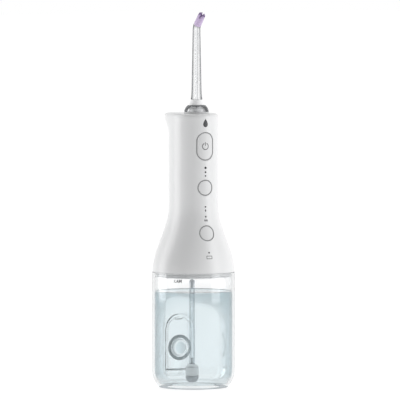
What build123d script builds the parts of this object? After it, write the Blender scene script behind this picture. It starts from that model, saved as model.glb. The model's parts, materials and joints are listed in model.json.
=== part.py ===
"""A cordless water flosser: a clear tank, a handle with pump, motor and battery, and a clear jet nozzle.

Millimetres, +Z up. The origin is the centre of the tank's base. The control buttons face -Y and the tank's
fill door faces +Y.
"""
from math import acos, atan2, cos, degrees, hypot, pi, radians, sin, sqrt, tan
import os

from build123d import *

# -------------------------------------------------------------------------------------------- driving sizes
# Tank
TANK_RADIUS = 33.0
TANK_WALL = 2.0
TANK_FLOOR = 3.0
TANK_HEIGHT = 91.8
TANK_CORNER_RADIUS = 19.4  # the side's curve down to the base
TANK_CORNER_HEIGHT = 14.0  # where that curve starts
BASE_EDGE_FILLET = 1.2
BASE_RECESS = 0.8  # the underside stands on a ring
BASE_RECESS_RADIUS = 21.0

# Fill door in the tank's back
FACET_Y = TANK_RADIUS - 4.4  # flat floor of the pocket that the door closes
FACET_WALL = 2.5
DOOR_TOP = 54.0
DOOR_GAP = 0.4
DOOR_HINGE_Z = 12.2
DOOR_HINGE_RISE = 1.3  # the hinge line stands this far off the facet
DOOR_BARREL_RADIUS = 1.15
HINGE_PIN_RADIUS = 0.6
HINGE_PIN_OVERLAP = 1.4  # length of pin in the tank at each end
FILL_HOLE_RADIUS = 7.5
FILL_HOLE_Z = 29.7
GASKET_WIDTH = 2.4
GASKET_HEIGHT = 1.1
DOOR_MARGIN = 0.5
DOOR_HALF_WIDTH = FILL_HOLE_RADIUS + GASKET_WIDTH + DOOR_MARGIN
PLUG_LENGTH = 4.2
PLUG_CLEARANCE = 0.4
PLUG_TAPER = 0.9
PLUG_WALL = 1.4
PLUG_STUD_RADIUS = 3.0

# Handle shell. Heights in the handle are given up from its foot or down from its top.
SEAM_GAP = 0.4
HANDLE_LENGTH = 125.8
SHELL_BOTTOM = TANK_HEIGHT + SEAM_GAP
HANDLE_TOP = SHELL_BOTTOM + HANDLE_LENGTH
SHELL_WALL = 2.0
SHELL_TOP_WALL = 2.6
BASE_HALF_WIDTH = TANK_RADIUS - 0.4  # the shell's foot is round
GRIP_HALF_WIDTH = 18.8  # the grip is an oval, deeper than it is wide
GRIP_HALF_DEPTH = 23.6
FLARE_TOP = SHELL_BOTTOM + 51.8
LIP_OVERHANG = 8.4
LIP_SQUARENESS = 0.5
TOP_ROUNDING = 2.2
LIP_TOP = HANDLE_TOP - TOP_ROUNDING
LIP_BOTTOM = LIP_TOP - 13.8
CAP_INSET = 4.0  # the top cap's edge, in from the shell's
CAP_LEDGE = 1.5
CAP_THICKNESS = 1.5

# Buttons: half width, half height, height of the centre
POWER_BUTTON = (6.35, 10.4, HANDLE_TOP - 25.4)
ROUND_BUTTON_RADIUS = 5.5
INTENSITY_BUTTON_Z = HANDLE_TOP - 58.2
MODE_BUTTON_Z = SHELL_BOTTOM + 31.7
BUTTON_SINK = 0.15  # a key sits this far below the shell's face
BUTTON_THICKNESS = 1.25
SEAL_RING = 0.75  # width of the soft ring round each key
KEY_CLEARANCE = 0.1
MEMBRANE_THICKNESS = 1.0
SHEET_CLEARANCE = 0.08
MEMBRANE_HALF_WIDTH = 7.9

# Indicator lights: (radius, height)
INTENSITY_LIGHTS = tuple(
    (radius, INTENSITY_BUTTON_Z + rise) for radius, rise in ((0.9, 15.8), (0.72, 12.4), (0.6, 9.4))
)
MODE_LIGHTS = tuple((0.62, MODE_BUTTON_Z + rise) for rise in (20.8, 13.0))
BATTERY_LIGHTS = ((0.62, SHELL_BOTTOM + 16.5),)
LIGHT_CLEARANCE = 0.05

# Nozzle
NOZZLE_Y = -6.0
NOZZLE_SHAFT_RADIUS = 4.55
CLIP_GROOVE = 0.7  # the shaft is this much thinner where the clip holds it
KEY_REACH = 0.7  # the nozzle's two keys stand this far off the shaft
RING_THICKNESS = 1.2
RING_HUB_RADIUS = NOZZLE_SHAFT_RADIUS + 2.45
RING_RADIUS = RING_HUB_RADIUS + 3.1
NOZZLE_SPIGOT_RADIUS = 3.2
O_RING_SECTION = 0.45
RUNNING_CLEARANCE = 0.12
SKIRT_RADIUS = 9.8
SKIRT_TOP_RADIUS = 6.8
SKIRT_HEIGHT = 5.2
SKIRT_WALL = 1.1
NECK_TOP_Z = HANDLE_TOP + 11.1
NECK_BASE_RADIUS = 5.8
NECK_TOP_RADIUS = 4.6
STEM_BASE_RADIUS = 4.7
STEM_WAIST_RADIUS = 3.85  # above the flare at the stem's foot
STEM_FLARE_HEIGHT = 14.0
STEM_TOP_RADIUS = 3.05
STEM_TOP_Z = NECK_TOP_Z + 55.5
STEM_BORE_RADIUS = 1.2
STEM_RIB_WIDTH = 0.8
STEM_RIB_RISE = 0.3
GATE_BOSS_RADIUS = 1.5
GATE_BOSS_Z = NECK_TOP_Z + 13.9
TIP_ANGLE = 47.0
BEND_RADIUS = 5.0
TIP_LENGTH = 11.0
TIP_END_RADIUS = 2.8
TIP_BORE_RADIUS = 1.5
TIP_SLOT_WIDTH = 1.1
TIP_SLOT_DEPTH = 2.0
SPIGOT_RADIUS = 2.2
SPIGOT_LENGTH = 3.0

# Nozzle seat, retaining clip and release button
BULKHEAD_Z = HANDLE_TOP - 21.0
BULKHEAD_THICKNESS = 1.6
SEAT_TUBE_RADIUS = NOZZLE_SHAFT_RADIUS + 1.65
CLIP_Z = HANDLE_TOP - 9.4
CLIP_WIRE_RADIUS = 0.5
RELEASE_BUTTON_Z = HANDLE_TOP - 6.4
RELEASE_HALF_WIDTH = 7.0
RELEASE_HALF_HEIGHT = 2.9
RELEASE_WALL_Y = 13.0
SPRING_RADIUS = 1.9
SPRING_WIRE_RADIUS = 0.35
SPRING_TURNS = 5

# Dock plate, suction hose and pickup
DOCK_THICKNESS = 3.4
DOCK_SKIRT_DEPTH = 4.2
DOCK_CLEARANCE = 0.4
SEAL_SECTION = 1.05
HOSE_X = -1.2
HOSE_RADIUS = 2.1
HOSE_BORE_RADIUS = 1.25
PICKUP_CAP_RADIUS = 4.5
PICKUP_RADIUS = 5.3
PICKUP_WEIGHT_LENGTH = 7.5
PICKUP_CAP_LENGTH = 2.2
STRAINER_LENGTH = 5.0
TUBE_RADIUS = 2.0
TUBE_BORE_RADIUS = 1.2
PICKUP_LIFT_OFF_FLOOR = 0.8
HOSE_TOP_Z = SHELL_BOTTOM - DOCK_SKIRT_DEPTH - 3.0

# Drive: motor, gears, crank and pump
MOTOR_Y = 7.0
MOTOR_Z = SHELL_BOTTOM + 16.8
MOTOR_RADIUS = 10.0
MOTOR_BACK_X = -19.5
MOTOR_FRONT_X = 1.9
GEAR_MODULE = 0.7
PINION_TEETH = 12
GEAR_TEETH = 36
GEAR_WIDTH = 3.5
GEAR_ANGLE = 60.0  # the gear stands forward and up of the motor, at this angle
GEAR_X = 5.5
BACKLASH = 0.14
CRANK_THROW = 2.5
CRANK_PIN_RADIUS = 1.5
YOKE_THICKNESS = 2.4
YOKE_BAR = 1.5
YOKE_CLEARANCE = 0.3
PISTON_X = 3.5
PISTON_RADIUS = 3.9
PISTON_LENGTH = 6.0
PISTON_ROD_RADIUS = 2.0
PUMP_RADIUS = 6.0
PUMP_BORE_RADIUS = 4.0
PUMP_LENGTH = 18.5
YOKE_TO_PUMP = 3.15  # from the yoke at the top of its stroke
PUMP_HEAD_HEIGHT = 7.0
FRAME_FOOT = 1.6
FRAME_WALL_B_X = 10.8

# Battery and boards
CELL_RADIUS = 7.1
CELL_LENGTH = 50.0
CELL_Y = 13.0
CELL_BOTTOM_Z = SHELL_BOTTOM + 48.8
SPINE_FRONT_Y = 4.8
SPINE_THICKNESS = 0.9
SPINE_HALF_WIDTH = 13.0
BOARD_THICKNESS = 1.2
BUTTON_BOARD_FACE_Y = 6.1 - GRIP_HALF_DEPTH
BUTTON_BOARD_HALF_WIDTH = 8.6
BUTTON_BOARD_BOTTOM_Z = SHELL_BOTTOM + 12.3
MAIN_BOARD_X = 10.7
SWITCH_HALF = 3.0
SWITCH_HEIGHT = 2.6

# Charging port in the shell's back
PORT_Z = SHELL_BOTTOM + 14.2
PORT_HALF_WIDTH = 4.5
PORT_HALF_HEIGHT = 1.65
SOCKET_DEPTH = 7.4
COVER_HALF_WIDTH = 7.0
COVER_HALF_HEIGHT = 4.0
COVER_DEPTH = 1.3
COVER_GAP = 0.25

MOUTH_RADIUS = TANK_RADIUS - TANK_WALL
SWITCH_TOP_Y = BUTTON_BOARD_FACE_Y - SWITCH_HEIGHT


# -------------------------------------------------------------------------------------------- small helpers
def ease(t):
    """A smooth step from 0 to 1."""
    t = min(1.0, max(0.0, t))
    return t * t * (3 - 2 * t)


def cyl(radius, low, high, x=0.0, y=0.0):
    """An upright cylinder."""
    return Pos(x, y, (low + high) / 2) * Cylinder(radius, high - low)


def cyl_x(radius, low, high, y, z):
    """A cylinder along X."""
    return Pos((low + high) / 2, y, z) * Rot(0, 90, 0) * Cylinder(radius, high - low)


def cyl_y(radius, low, high, x, z):
    """A cylinder along Y."""
    return Pos(x, (low + high) / 2, z) * Rot(90, 0, 0) * Cylinder(radius, high - low)


def block(x0, x1, y0, y1, z0, z1):
    return Pos((x0 + x1) / 2, (y0 + y1) / 2, (z0 + z1) / 2) * Box(x1 - x0, y1 - y0, z1 - z0)


def turned(profile, x=0.0, y=0.0):
    """A solid of revolution about an upright axis, from (radius, height) corners."""
    face = make_face(Polyline(*[(r, 0, z) for r, z in profile], close=True))
    return Pos(x, y, 0) * revolve(face, Axis.Z)


def tube(points, bends, outer, bore):
    """A round tube along straight runs joined by arcs."""
    path = FilletPolyline(*points, radius=bends) if bends else Line(*points)
    start = Plane(path @ 0, z_dir=path % 0)
    return sweep(start * Circle(outer), path) - sweep(start * Circle(bore), path)


# -------------------------------------------------------------------------------------------- handle's form
def half_width(z):
    return GRIP_HALF_WIDTH + (BASE_HALF_WIDTH - GRIP_HALF_WIDTH) * flare(z)


def front_depth(z):
    return GRIP_HALF_DEPTH + (BASE_HALF_WIDTH - GRIP_HALF_DEPTH) * flare(z)


def back_depth(z):
    return front_depth(z) + LIP_OVERHANG * lip(z)


def flare(z):
    return ease((FLARE_TOP - z) / (FLARE_TOP - SHELL_BOTTOM))


def lip(z):
    return ease((z - LIP_BOTTOM) / (LIP_TOP - LIP_BOTTOM))


def rounding(z):
    """How far the rounded top edge draws the section in."""
    into = max(0.0, z - (HANDLE_TOP - TOP_ROUNDING))
    return TOP_ROUNDING - sqrt(max(0.0, TOP_ROUNDING**2 - into**2))


def section(z, inset, rounded=True):
    """The handle's oval outline at a height, drawn in by an inset. The back half grows squarer at the lip."""
    inset = inset + (rounding(z) if rounded else 0.0)
    square = 2 + LIP_SQUARENESS * lip(z)
    points = []
    count = 32
    for i in range(count):
        c, s = cos(2 * pi * i / count), sin(2 * pi * i / count)
        power, depth = (2 / square, back_depth(z)) if s > 1e-9 else (1.0, front_depth(z))
        x = (half_width(z) - inset) * abs(c) ** power * (1 if c > 0 else -1)
        y = (depth - inset) * abs(s) ** power * (1 if s > 0 else -1)
        points.append((x, y, z))
    return Wire([Edge.make_spline([Vector(*p) for p in points], periodic=True)])


def handle_form(inset, low=SHELL_BOTTOM, high=HANDLE_TOP, rounded=True):
    """The handle's outer form drawn in by an inset, from one height to another."""
    steps = [low + (FLARE_TOP - low) * i / 9 for i in range(9)]
    steps += [FLARE_TOP + (LIP_BOTTOM - FLARE_TOP) * f for f in (0.0, 0.28, 0.6, 0.84, 1.0)]
    steps += [LIP_BOTTOM + (LIP_TOP - LIP_BOTTOM) * i / 6 for i in range(1, 7)]
    if rounded:
        steps += [HANDLE_TOP - TOP_ROUNDING * f for f in (0.6, 0.3, 0.12)]
    steps = [z for z in steps if low - 1e-6 <= z < high - 0.2] + [high]
    return Solid.make_loft([section(z, inset, rounded) for z in steps])


def inner_form(inset):
    """The hollow inside the shell, or a form that lies inside it by an inset."""
    return handle_form(SHELL_WALL + inset, high=CAVITY_TOP, rounded=False)


def front_plane(z):
    """A plane on the shell's face at the front centre line, looking out."""
    slope = (front_depth(z + 0.1) - front_depth(z - 0.1)) / 0.2
    return Plane((0, -front_depth(z), z), x_dir=(1, 0, 0), z_dir=(0, -1, -slope))


def button_prism(z, half_w, half_h, grow):
    """A round or pill-shaped prism through the shell's front."""
    radius = half_w + grow
    shape = Circle(radius)
    if half_h > half_w:
        shape = Rot(0, 0, 90) * SlotCenterToCenter(2 * (half_h - half_w), 2 * radius)
    return extrude(front_plane(z) * shape, 8, both=True)


BUTTONS = {
    "power_button": (POWER_BUTTON[2], POWER_BUTTON[0], POWER_BUTTON[1]),
    "intensity_button": (INTENSITY_BUTTON_Z, ROUND_BUTTON_RADIUS, ROUND_BUTTON_RADIUS),
    "mode_button": (MODE_BUTTON_Z, ROUND_BUTTON_RADIUS, ROUND_BUTTON_RADIUS),
}
LIGHTS = {
    "intensity_lights": INTENSITY_LIGHTS,
    "mode_lights": MODE_LIGHTS,
    "battery_light": BATTERY_LIGHTS,
}
CAVITY_TOP = HANDLE_TOP - SHELL_TOP_WALL


# ----------------------------------------------------------------------------------------------------- tank
def corner_arc_radius_at(z, inset=0.0):
    """The tank's outer radius, or the inner one with an inset, where the side curves in to the base."""
    radius = TANK_CORNER_RADIUS - inset
    drop = max(0.0, TANK_CORNER_HEIGHT - z)
    return TANK_RADIUS - TANK_CORNER_RADIUS + sqrt(radius**2 - drop**2)


def tank_form(inset, bottom, top):
    """The tank's round form, from its floor up, with the curved corner."""
    foot = (corner_arc_radius_at(bottom, inset), 0, bottom)
    shoulder = (TANK_RADIUS - inset, 0, TANK_CORNER_HEIGHT)
    between = (bottom + TANK_CORNER_HEIGHT) / 2
    middle = (corner_arc_radius_at(between, inset), 0, between)
    outline = Line((0, 0, bottom), foot) + ThreePointArc(foot, middle, shoulder)
    outline += Polyline(shoulder, (TANK_RADIUS - inset, 0, top), (0, 0, top), (0, 0, bottom))
    form = revolve(make_face(outline), Axis.Z)
    return fillet(form.edges().group_by(Axis.Z)[0].filter_by(GeomType.CIRCLE), BASE_EDGE_FILLET)


def arch_prism(half, low, high, y0, y1):
    """A round-topped panel shape, extruded along Y."""
    spring = high - half
    outline = Polyline((-half, spring), (-half, low), (half, low), (half, spring))
    outline += ThreePointArc((half, spring), (0, high), (-half, spring))
    face = Plane((0, y0, 0), x_dir=(1, 0, 0), z_dir=(0, -1, 0)) * make_face(outline)
    return extrude(face, -(y1 - y0))


DOOR_HINGE_Y = FACET_Y + DOOR_HINGE_RISE
DOOR_INNER_Y = FACET_Y + 0.2
DOOR_OUTER_RADIUS = TANK_RADIUS - 0.15
POCKET_BOTTOM = DOOR_HINGE_Z - (DOOR_OUTER_RADIUS - DOOR_HINGE_Y) - DOOR_GAP
GASKET_RADIUS = FILL_HOLE_RADIUS + GASKET_WIDTH
PIN_END_X = DOOR_HALF_WIDTH + DOOR_GAP + HINGE_PIN_OVERLAP


def tank():
    outer = tank_form(0, 0, TANK_HEIGHT)
    room = tank_form(TANK_WALL, TANK_FLOOR, TANK_HEIGHT + 1)
    border = TANK_WALL
    boss = arch_prism(
        DOOR_HALF_WIDTH + DOOR_GAP + border, POCKET_BOTTOM - border, DOOR_TOP + DOOR_GAP + border,
        FACET_Y - FACET_WALL, TANK_RADIUS,
    )
    pocket = arch_prism(
        DOOR_HALF_WIDTH + DOOR_GAP, POCKET_BOTTOM, DOOR_TOP + DOOR_GAP, FACET_Y, TANK_RADIUS + 5
    )
    seat = cyl_y(GASKET_RADIUS + 0.15, FACET_Y - GASKET_HEIGHT, FACET_Y + 1, 0, FILL_HOLE_Z)
    hole = cyl_y(FILL_HOLE_RADIUS, FACET_Y - 5, FACET_Y + 1, 0, FILL_HOLE_Z)
    pin_hole = cyl_x(HINGE_PIN_RADIUS, -PIN_END_X, PIN_END_X, DOOR_HINGE_Y, DOOR_HINGE_Z)
    body = (outer - room) + (boss & outer) - pocket - seat - hole - pin_hole
    return body - cyl(BASE_RECESS_RADIUS, -1, BASE_RECESS)


def fill_gasket():
    ring = cyl_y(GASKET_RADIUS, FACET_Y - GASKET_HEIGHT, FACET_Y, 0, FILL_HOLE_Z)
    return ring - cyl_y(FILL_HOLE_RADIUS, FACET_Y - 3, FACET_Y + 1, 0, FILL_HOLE_Z)


def door_hinge_pin():
    return cyl_x(HINGE_PIN_RADIUS, -PIN_END_X, PIN_END_X, DOOR_HINGE_Y, DOOR_HINGE_Z)


def fill_door():
    panel = arch_prism(DOOR_HALF_WIDTH, DOOR_HINGE_Z, DOOR_TOP, DOOR_INNER_Y, TANK_RADIUS + 2)
    panel &= cyl(DOOR_OUTER_RADIUS, 0, DOOR_TOP + 1)
    barrel = cyl_x(DOOR_BARREL_RADIUS, -DOOR_HALF_WIDTH, DOOR_HALF_WIDTH, DOOR_HINGE_Y, DOOR_HINGE_Z)
    bore = cyl_x(
        HINGE_PIN_RADIUS + 0.05, -DOOR_HALF_WIDTH - 1, DOOR_HALF_WIDTH + 1, DOOR_HINGE_Y, DOOR_HINGE_Z
    )
    nail_notch = cyl_x(2.2, -3.5, 3.5, TANK_RADIUS + 0.6, DOOR_TOP)
    plug_seat = cyl_y(PLUG_STUD_RADIUS, DOOR_INNER_Y - 1, DOOR_INNER_Y + 1.5, 0, FILL_HOLE_Z)
    return panel + barrel - bore - nail_notch - plug_seat


def fill_plug():
    """A soft tapered cup on the door, which closes the fill hole, with a stud in the door."""
    wide = FILL_HOLE_RADIUS - PLUG_CLEARANCE
    cone = Pos(0, DOOR_INNER_Y - PLUG_LENGTH / 2, FILL_HOLE_Z) * Rot(90, 0, 0) * Cone(
        wide, wide - PLUG_TAPER, PLUG_LENGTH
    )
    cup_bottom = DOOR_INNER_Y - PLUG_WALL
    cup = cyl_y(wide - PLUG_TAPER - PLUG_WALL, cup_bottom - PLUG_LENGTH, cup_bottom, 0, FILL_HOLE_Z)
    return cone - cup + cyl_y(PLUG_STUD_RADIUS, DOOR_INNER_Y, DOOR_INNER_Y + 1.5, 0, FILL_HOLE_Z)


# --------------------------------------------------------------------------------------------- handle shell
def top_opening(inset, low, high):
    wire = section(HANDLE_TOP, inset, rounded=False)
    return extrude(Pos(0, 0, low - HANDLE_TOP) * Face(wire), high - low, dir=(0, 0, 1))


CAP_TOP = HANDLE_TOP + 0.1
CAP_STEP_Z = HANDLE_TOP - CAP_THICKNESS


def release_prism(grow):
    """The release button's pill shape through the lip's back."""
    plane = Plane((0, 0, RELEASE_BUTTON_Z), x_dir=(1, 0, 0), z_dir=(0, 1, 0))
    slot = SlotOverall(2 * (RELEASE_HALF_WIDTH + grow), 2 * (RELEASE_HALF_HEIGHT + grow))
    return extrude(plane * slot, back_depth(LIP_TOP) + 5)


def cover_prism(grow, depth):
    """The charging port cover's rounded shape, seen from behind."""
    plane = Plane((0, 0, PORT_Z), x_dir=(1, 0, 0), z_dir=(0, 1, 0))
    shape = RectangleRounded(
        2 * (COVER_HALF_WIDTH + grow), 2 * (COVER_HALF_HEIGHT + grow), 1.6 + grow
    )
    return extrude(plane * shape, depth)


def handle_shell(form, cavity):
    body = form - cavity
    for z, half_w, half_h in BUTTONS.values():
        body -= button_prism(z, half_w, half_h, SEAL_RING + 2 * KEY_CLEARANCE) & front_half()
    for lights in LIGHTS.values():
        for radius, z in lights:
            body -= cyl_y(radius + LIGHT_CLEARANCE, -front_depth(z) - 5, -10, 0, z)
    body -= top_opening(CAP_INSET, CAP_STEP_Z, HANDLE_TOP + 1)
    body -= top_opening(CAP_INSET + CAP_LEDGE, CAVITY_TOP - 1, HANDLE_TOP + 1)
    body -= release_prism(COVER_GAP)
    recess = cover_prism(COVER_GAP, back_depth(SHELL_BOTTOM) + 5)
    body -= recess - handle_form(COVER_DEPTH + COVER_GAP)
    body -= block(
        -PORT_HALF_WIDTH - 0.2, PORT_HALF_WIDTH + 0.2, 20, back_depth(SHELL_BOTTOM) + 5,
        PORT_Z - PORT_HALF_HEIGHT - 0.2, PORT_Z + PORT_HALF_HEIGHT + 0.2,
    )
    return body


def front_half():
    return block(-40, 40, -60, 0, SHELL_BOTTOM - 5, HANDLE_TOP + 5)


def top_cap():
    plate = top_opening(CAP_INSET + 0.15, CAP_STEP_Z, CAP_TOP)
    plug = top_opening(CAP_INSET + CAP_LEDGE + 0.2, CAP_STEP_Z - 2.0, CAP_STEP_Z)
    return plate + plug - cyl(
        RING_HUB_RADIUS + RUNNING_CLEARANCE, CAP_STEP_Z - 5, CAP_TOP + 5, 0, NOZZLE_Y
    )


# -------------------------------------------------------------------------------------------------- buttons
def button(name, skin, under):
    z, half_w, half_h = BUTTONS[name]
    return (button_prism(z, half_w, half_h, 0) & front_half() & skin) - under


def button_membrane(outer, inner):
    """One soft sheet behind the shell's front, with a ring that rises round each key."""
    strip = block(
        -MEMBRANE_HALF_WIDTH, MEMBRANE_HALF_WIDTH, -60, 0, MODE_BUTTON_Z - 9.0, POWER_BUTTON[2] + 13.5
    )
    sheet = (outer & strip) - inner
    skin = handle_form(0.45) - handle_form(SHELL_WALL + 0.5)
    for z, half_w, half_h in BUTTONS.values():
        ring = button_prism(z, half_w, half_h, KEY_CLEARANCE + SEAL_RING)
        ring -= button_prism(z, half_w, half_h, KEY_CLEARANCE)
        sheet += ring & front_half() & skin
        sheet += cyl_y(1.6, SHELL_WALL + 0.5 - front_depth(z), SWITCH_TOP_Y - 0.25, 0, switch_height(z))
    for lights in LIGHTS.values():
        for radius, z in lights:
            sheet -= cyl_y(radius + 0.3, -60, 0, 0, z)
    return sheet


def light_guides(name, form):
    """Light pipes from the button board to the shell's face."""
    guides = [
        cyl_y(radius, -front_depth(z) - 2, BUTTON_BOARD_FACE_Y, 0, z) & form for radius, z in LIGHTS[name]
    ]
    return Compound(children=[g.solids()[0] for g in guides])


# --------------------------------------------------------------------------------------------------- nozzle
TIP_TURN = radians(TIP_ANGLE)
RING_BOTTOM = CAP_TOP + 0.05
RING_TOP = RING_BOTTOM + RING_THICKNESS
SKIRT_BOTTOM = RING_TOP + 0.2
SHAFT_BOTTOM = BULKHEAD_Z + BULKHEAD_THICKNESS + 8.4
SPIGOT_BOTTOM = BULKHEAD_Z + BULKHEAD_THICKNESS + 1.2
BEND_END = (
    NOZZLE_Y - BEND_RADIUS * (1 - cos(TIP_TURN)),
    STEM_TOP_Z + BEND_RADIUS * sin(TIP_TURN),
)


def tip_plane(along):
    """A plane across the tilted tip, that far past the bend."""
    y = BEND_END[0] - along * sin(TIP_TURN)
    z = BEND_END[1] + along * cos(TIP_TURN)
    return Plane((0, y, z), x_dir=(1, 0, 0), z_dir=(0, -sin(TIP_TURN), cos(TIP_TURN)))


def bend(radius):
    centre = (0, NOZZLE_Y - BEND_RADIUS, STEM_TOP_Z)
    disc = Plane((0, NOZZLE_Y, STEM_TOP_Z)) * Circle(radius)
    return revolve(disc, Axis(centre, (1, 0, 0)), TIP_ANGLE)


def along_tip(radius, start, length, end_radius=None):
    end_radius = radius if end_radius is None else end_radius
    middle = tip_plane(start + length / 2)
    return middle * (Cone(radius, end_radius, length) if end_radius != radius else Cylinder(radius, length))


def nozzle_stem():
    foot = NECK_TOP_Z + 0.1
    waist = foot + STEM_FLARE_HEIGHT
    side = Spline(
        (STEM_BASE_RADIUS, 0, foot), (STEM_WAIST_RADIUS, 0, waist),
        tangents=((-0.22, 0, 1), (-0.02, 0, 1)),
    )
    outline = Line((0, 0, foot), (STEM_BASE_RADIUS, 0, foot)) + side
    outline += Polyline(
        (STEM_WAIST_RADIUS, 0, waist), (STEM_TOP_RADIUS, 0, STEM_TOP_Z), (0, 0, STEM_TOP_Z), (0, 0, foot)
    )
    body = Pos(0, NOZZLE_Y, 0) * revolve(make_face(outline), Axis.Z)
    ridge = STEM_WAIST_RADIUS - (STEM_WAIST_RADIUS - STEM_TOP_RADIUS) * 0.02
    rib_side = make_face(Polyline(
        (0, NOZZLE_Y, waist), (0, NOZZLE_Y - ridge - STEM_RIB_RISE, waist),
        (0, NOZZLE_Y - STEM_TOP_RADIUS - STEM_RIB_RISE, STEM_TOP_Z - 3), (0, NOZZLE_Y, STEM_TOP_Z),
        close=True,
    ))
    rib = extrude(rib_side, STEM_RIB_WIDTH / 2, both=True, dir=(1, 0, 0))
    boss_y = NOZZLE_Y - STEM_WAIST_RADIUS - 0.45
    boss = cyl_y(GATE_BOSS_RADIUS, boss_y, NOZZLE_Y, 0, GATE_BOSS_Z)
    outer = body + rib + boss + bend(STEM_TOP_RADIUS) + along_tip(STEM_TOP_RADIUS, 0, 1.0)
    outer += along_tip(SPIGOT_RADIUS, 1.0, SPIGOT_LENGTH)
    bore = cyl(STEM_BORE_RADIUS, foot - 1, STEM_TOP_Z, 0, NOZZLE_Y) + bend(STEM_BORE_RADIUS)
    return outer - bore - along_tip(STEM_BORE_RADIUS, 0, SPIGOT_LENGTH + 2)


def nozzle_tip():
    body = along_tip(STEM_TOP_RADIUS + 0.05, 1.05, TIP_LENGTH, TIP_END_RADIUS)
    body -= along_tip(SPIGOT_RADIUS + 0.02, 1.0, SPIGOT_LENGTH + 0.1)
    body -= along_tip(TIP_BORE_RADIUS, 0, TIP_LENGTH + 3)
    end = tip_plane(1.05 + TIP_LENGTH - TIP_SLOT_DEPTH / 2)
    for turn in (45, -45):
        body -= end * Rot(0, 0, turn) * Box(10, TIP_SLOT_WIDTH, TIP_SLOT_DEPTH + 0.02)
    return body


def nozzle_core():
    """The white body of the nozzle: neck, stem in the skirt, keyed shaft and spigot."""
    shaft = NOZZLE_SHAFT_RADIUS
    profile = [
        (STEM_BORE_RADIUS, SPIGOT_BOTTOM), (NOZZLE_SPIGOT_RADIUS - 0.4, SPIGOT_BOTTOM),
        (NOZZLE_SPIGOT_RADIUS, SPIGOT_BOTTOM + 0.6), (NOZZLE_SPIGOT_RADIUS, SPIGOT_BOTTOM + 2.0),
        (NOZZLE_SPIGOT_RADIUS - 0.9, SPIGOT_BOTTOM + 2.0), (NOZZLE_SPIGOT_RADIUS - 0.9, SPIGOT_BOTTOM + 3.6),
        (NOZZLE_SPIGOT_RADIUS, SPIGOT_BOTTOM + 3.6), (NOZZLE_SPIGOT_RADIUS, SHAFT_BOTTOM),
        (shaft - CLIP_GROOVE, SHAFT_BOTTOM), (shaft - CLIP_GROOVE, CLIP_Z + 0.7), (shaft, CLIP_Z + 1.3),
        (shaft, SKIRT_BOTTOM), (shaft + 0.2, SKIRT_BOTTOM), (shaft + 0.2, SKIRT_BOTTOM + SKIRT_HEIGHT + 0.2),
        (NECK_BASE_RADIUS, SKIRT_BOTTOM + SKIRT_HEIGHT + 0.2), (NECK_TOP_RADIUS, NECK_TOP_Z),
        (STEM_BORE_RADIUS, NECK_TOP_Z),
    ]
    body = turned(profile, 0, NOZZLE_Y)
    reach = shaft + KEY_REACH
    key = block(-reach, reach, NOZZLE_Y - 0.5, NOZZLE_Y + 0.5, RING_BOTTOM - 5.5, RING_TOP - 0.4)
    return body + (key - cyl(shaft - 1, RING_BOTTOM - 6, RING_TOP, 0, NOZZLE_Y))


def nozzle_skirt():
    """A clear dome that stands over the rotation ring."""
    low, high = SKIRT_BOTTOM, SKIRT_BOTTOM + SKIRT_HEIGHT
    inner = NOZZLE_SHAFT_RADIUS + 0.25
    wall = SKIRT_WALL

    def dome(drop):
        start = (SKIRT_RADIUS - drop, 0, low)
        end = (SKIRT_TOP_RADIUS - drop * 0.6, 0, high - drop)
        bulge = ((start[0] + end[0]) / 2 + 0.75, 0, (start[2] + end[2]) / 2)
        return start, bulge, end

    outer, hollow = dome(0), dome(wall)
    outline = ThreePointArc(*outer)
    outline += Polyline(outer[2], (inner, 0, high), (inner, 0, high - wall), hollow[2])
    outline += ThreePointArc(hollow[2], hollow[1], hollow[0])
    outline += Line(hollow[0], outer[0])
    return Pos(0, NOZZLE_Y, 0) * revolve(make_face(outline), Axis.Z)


def nozzle_o_ring():
    centre = SPIGOT_BOTTOM + 2.8
    return Pos(0, NOZZLE_Y, centre) * Torus(NOZZLE_SPIGOT_RADIUS + 0.05 - O_RING_SECTION, O_RING_SECTION)


def rotation_ring():
    """The ring that the nozzle plugs into and turns with."""
    hub_bottom = CAP_STEP_Z - 5.2
    groove = CAP_STEP_Z - 2.0 - 0.3
    bore = NOZZLE_SHAFT_RADIUS + RUNNING_CLEARANCE
    profile = [
        (bore, hub_bottom), (RING_HUB_RADIUS, hub_bottom),
        (RING_HUB_RADIUS, groove - 1.0), (RING_HUB_RADIUS - 0.6, groove - 1.0),
        (RING_HUB_RADIUS - 0.6, groove), (RING_HUB_RADIUS, groove),
        (RING_HUB_RADIUS, RING_BOTTOM), (RING_RADIUS, RING_BOTTOM),
        (RING_RADIUS, RING_TOP - 0.5), (RING_RADIUS - 0.5, RING_TOP), (bore, RING_TOP),
    ]
    slot_reach = NOZZLE_SHAFT_RADIUS + KEY_REACH + 0.15
    slots = block(-slot_reach, slot_reach, NOZZLE_Y - 0.65, NOZZLE_Y + 0.65, hub_bottom - 1, RING_TOP + 1)
    return turned(profile, 0, NOZZLE_Y) - slots


def ring_clip():
    """A split retaining ring under the top cap, which holds the rotation ring in."""
    top = CAP_STEP_Z - 2.0 - 0.35
    ring = cyl(RING_HUB_RADIUS + 1.6, top - 0.9, top, 0, NOZZLE_Y)
    ring -= cyl(RING_HUB_RADIUS - 0.55, top - 2, top + 1, 0, NOZZLE_Y)
    return ring - block(-1.2, 1.2, NOZZLE_Y - 12, NOZZLE_Y, top - 2, top + 1)


# ---------------------------------------------------------------------------------------------- nozzle seat
SEAT_TOP = CAP_STEP_Z - 5.2 - 0.4


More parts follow.
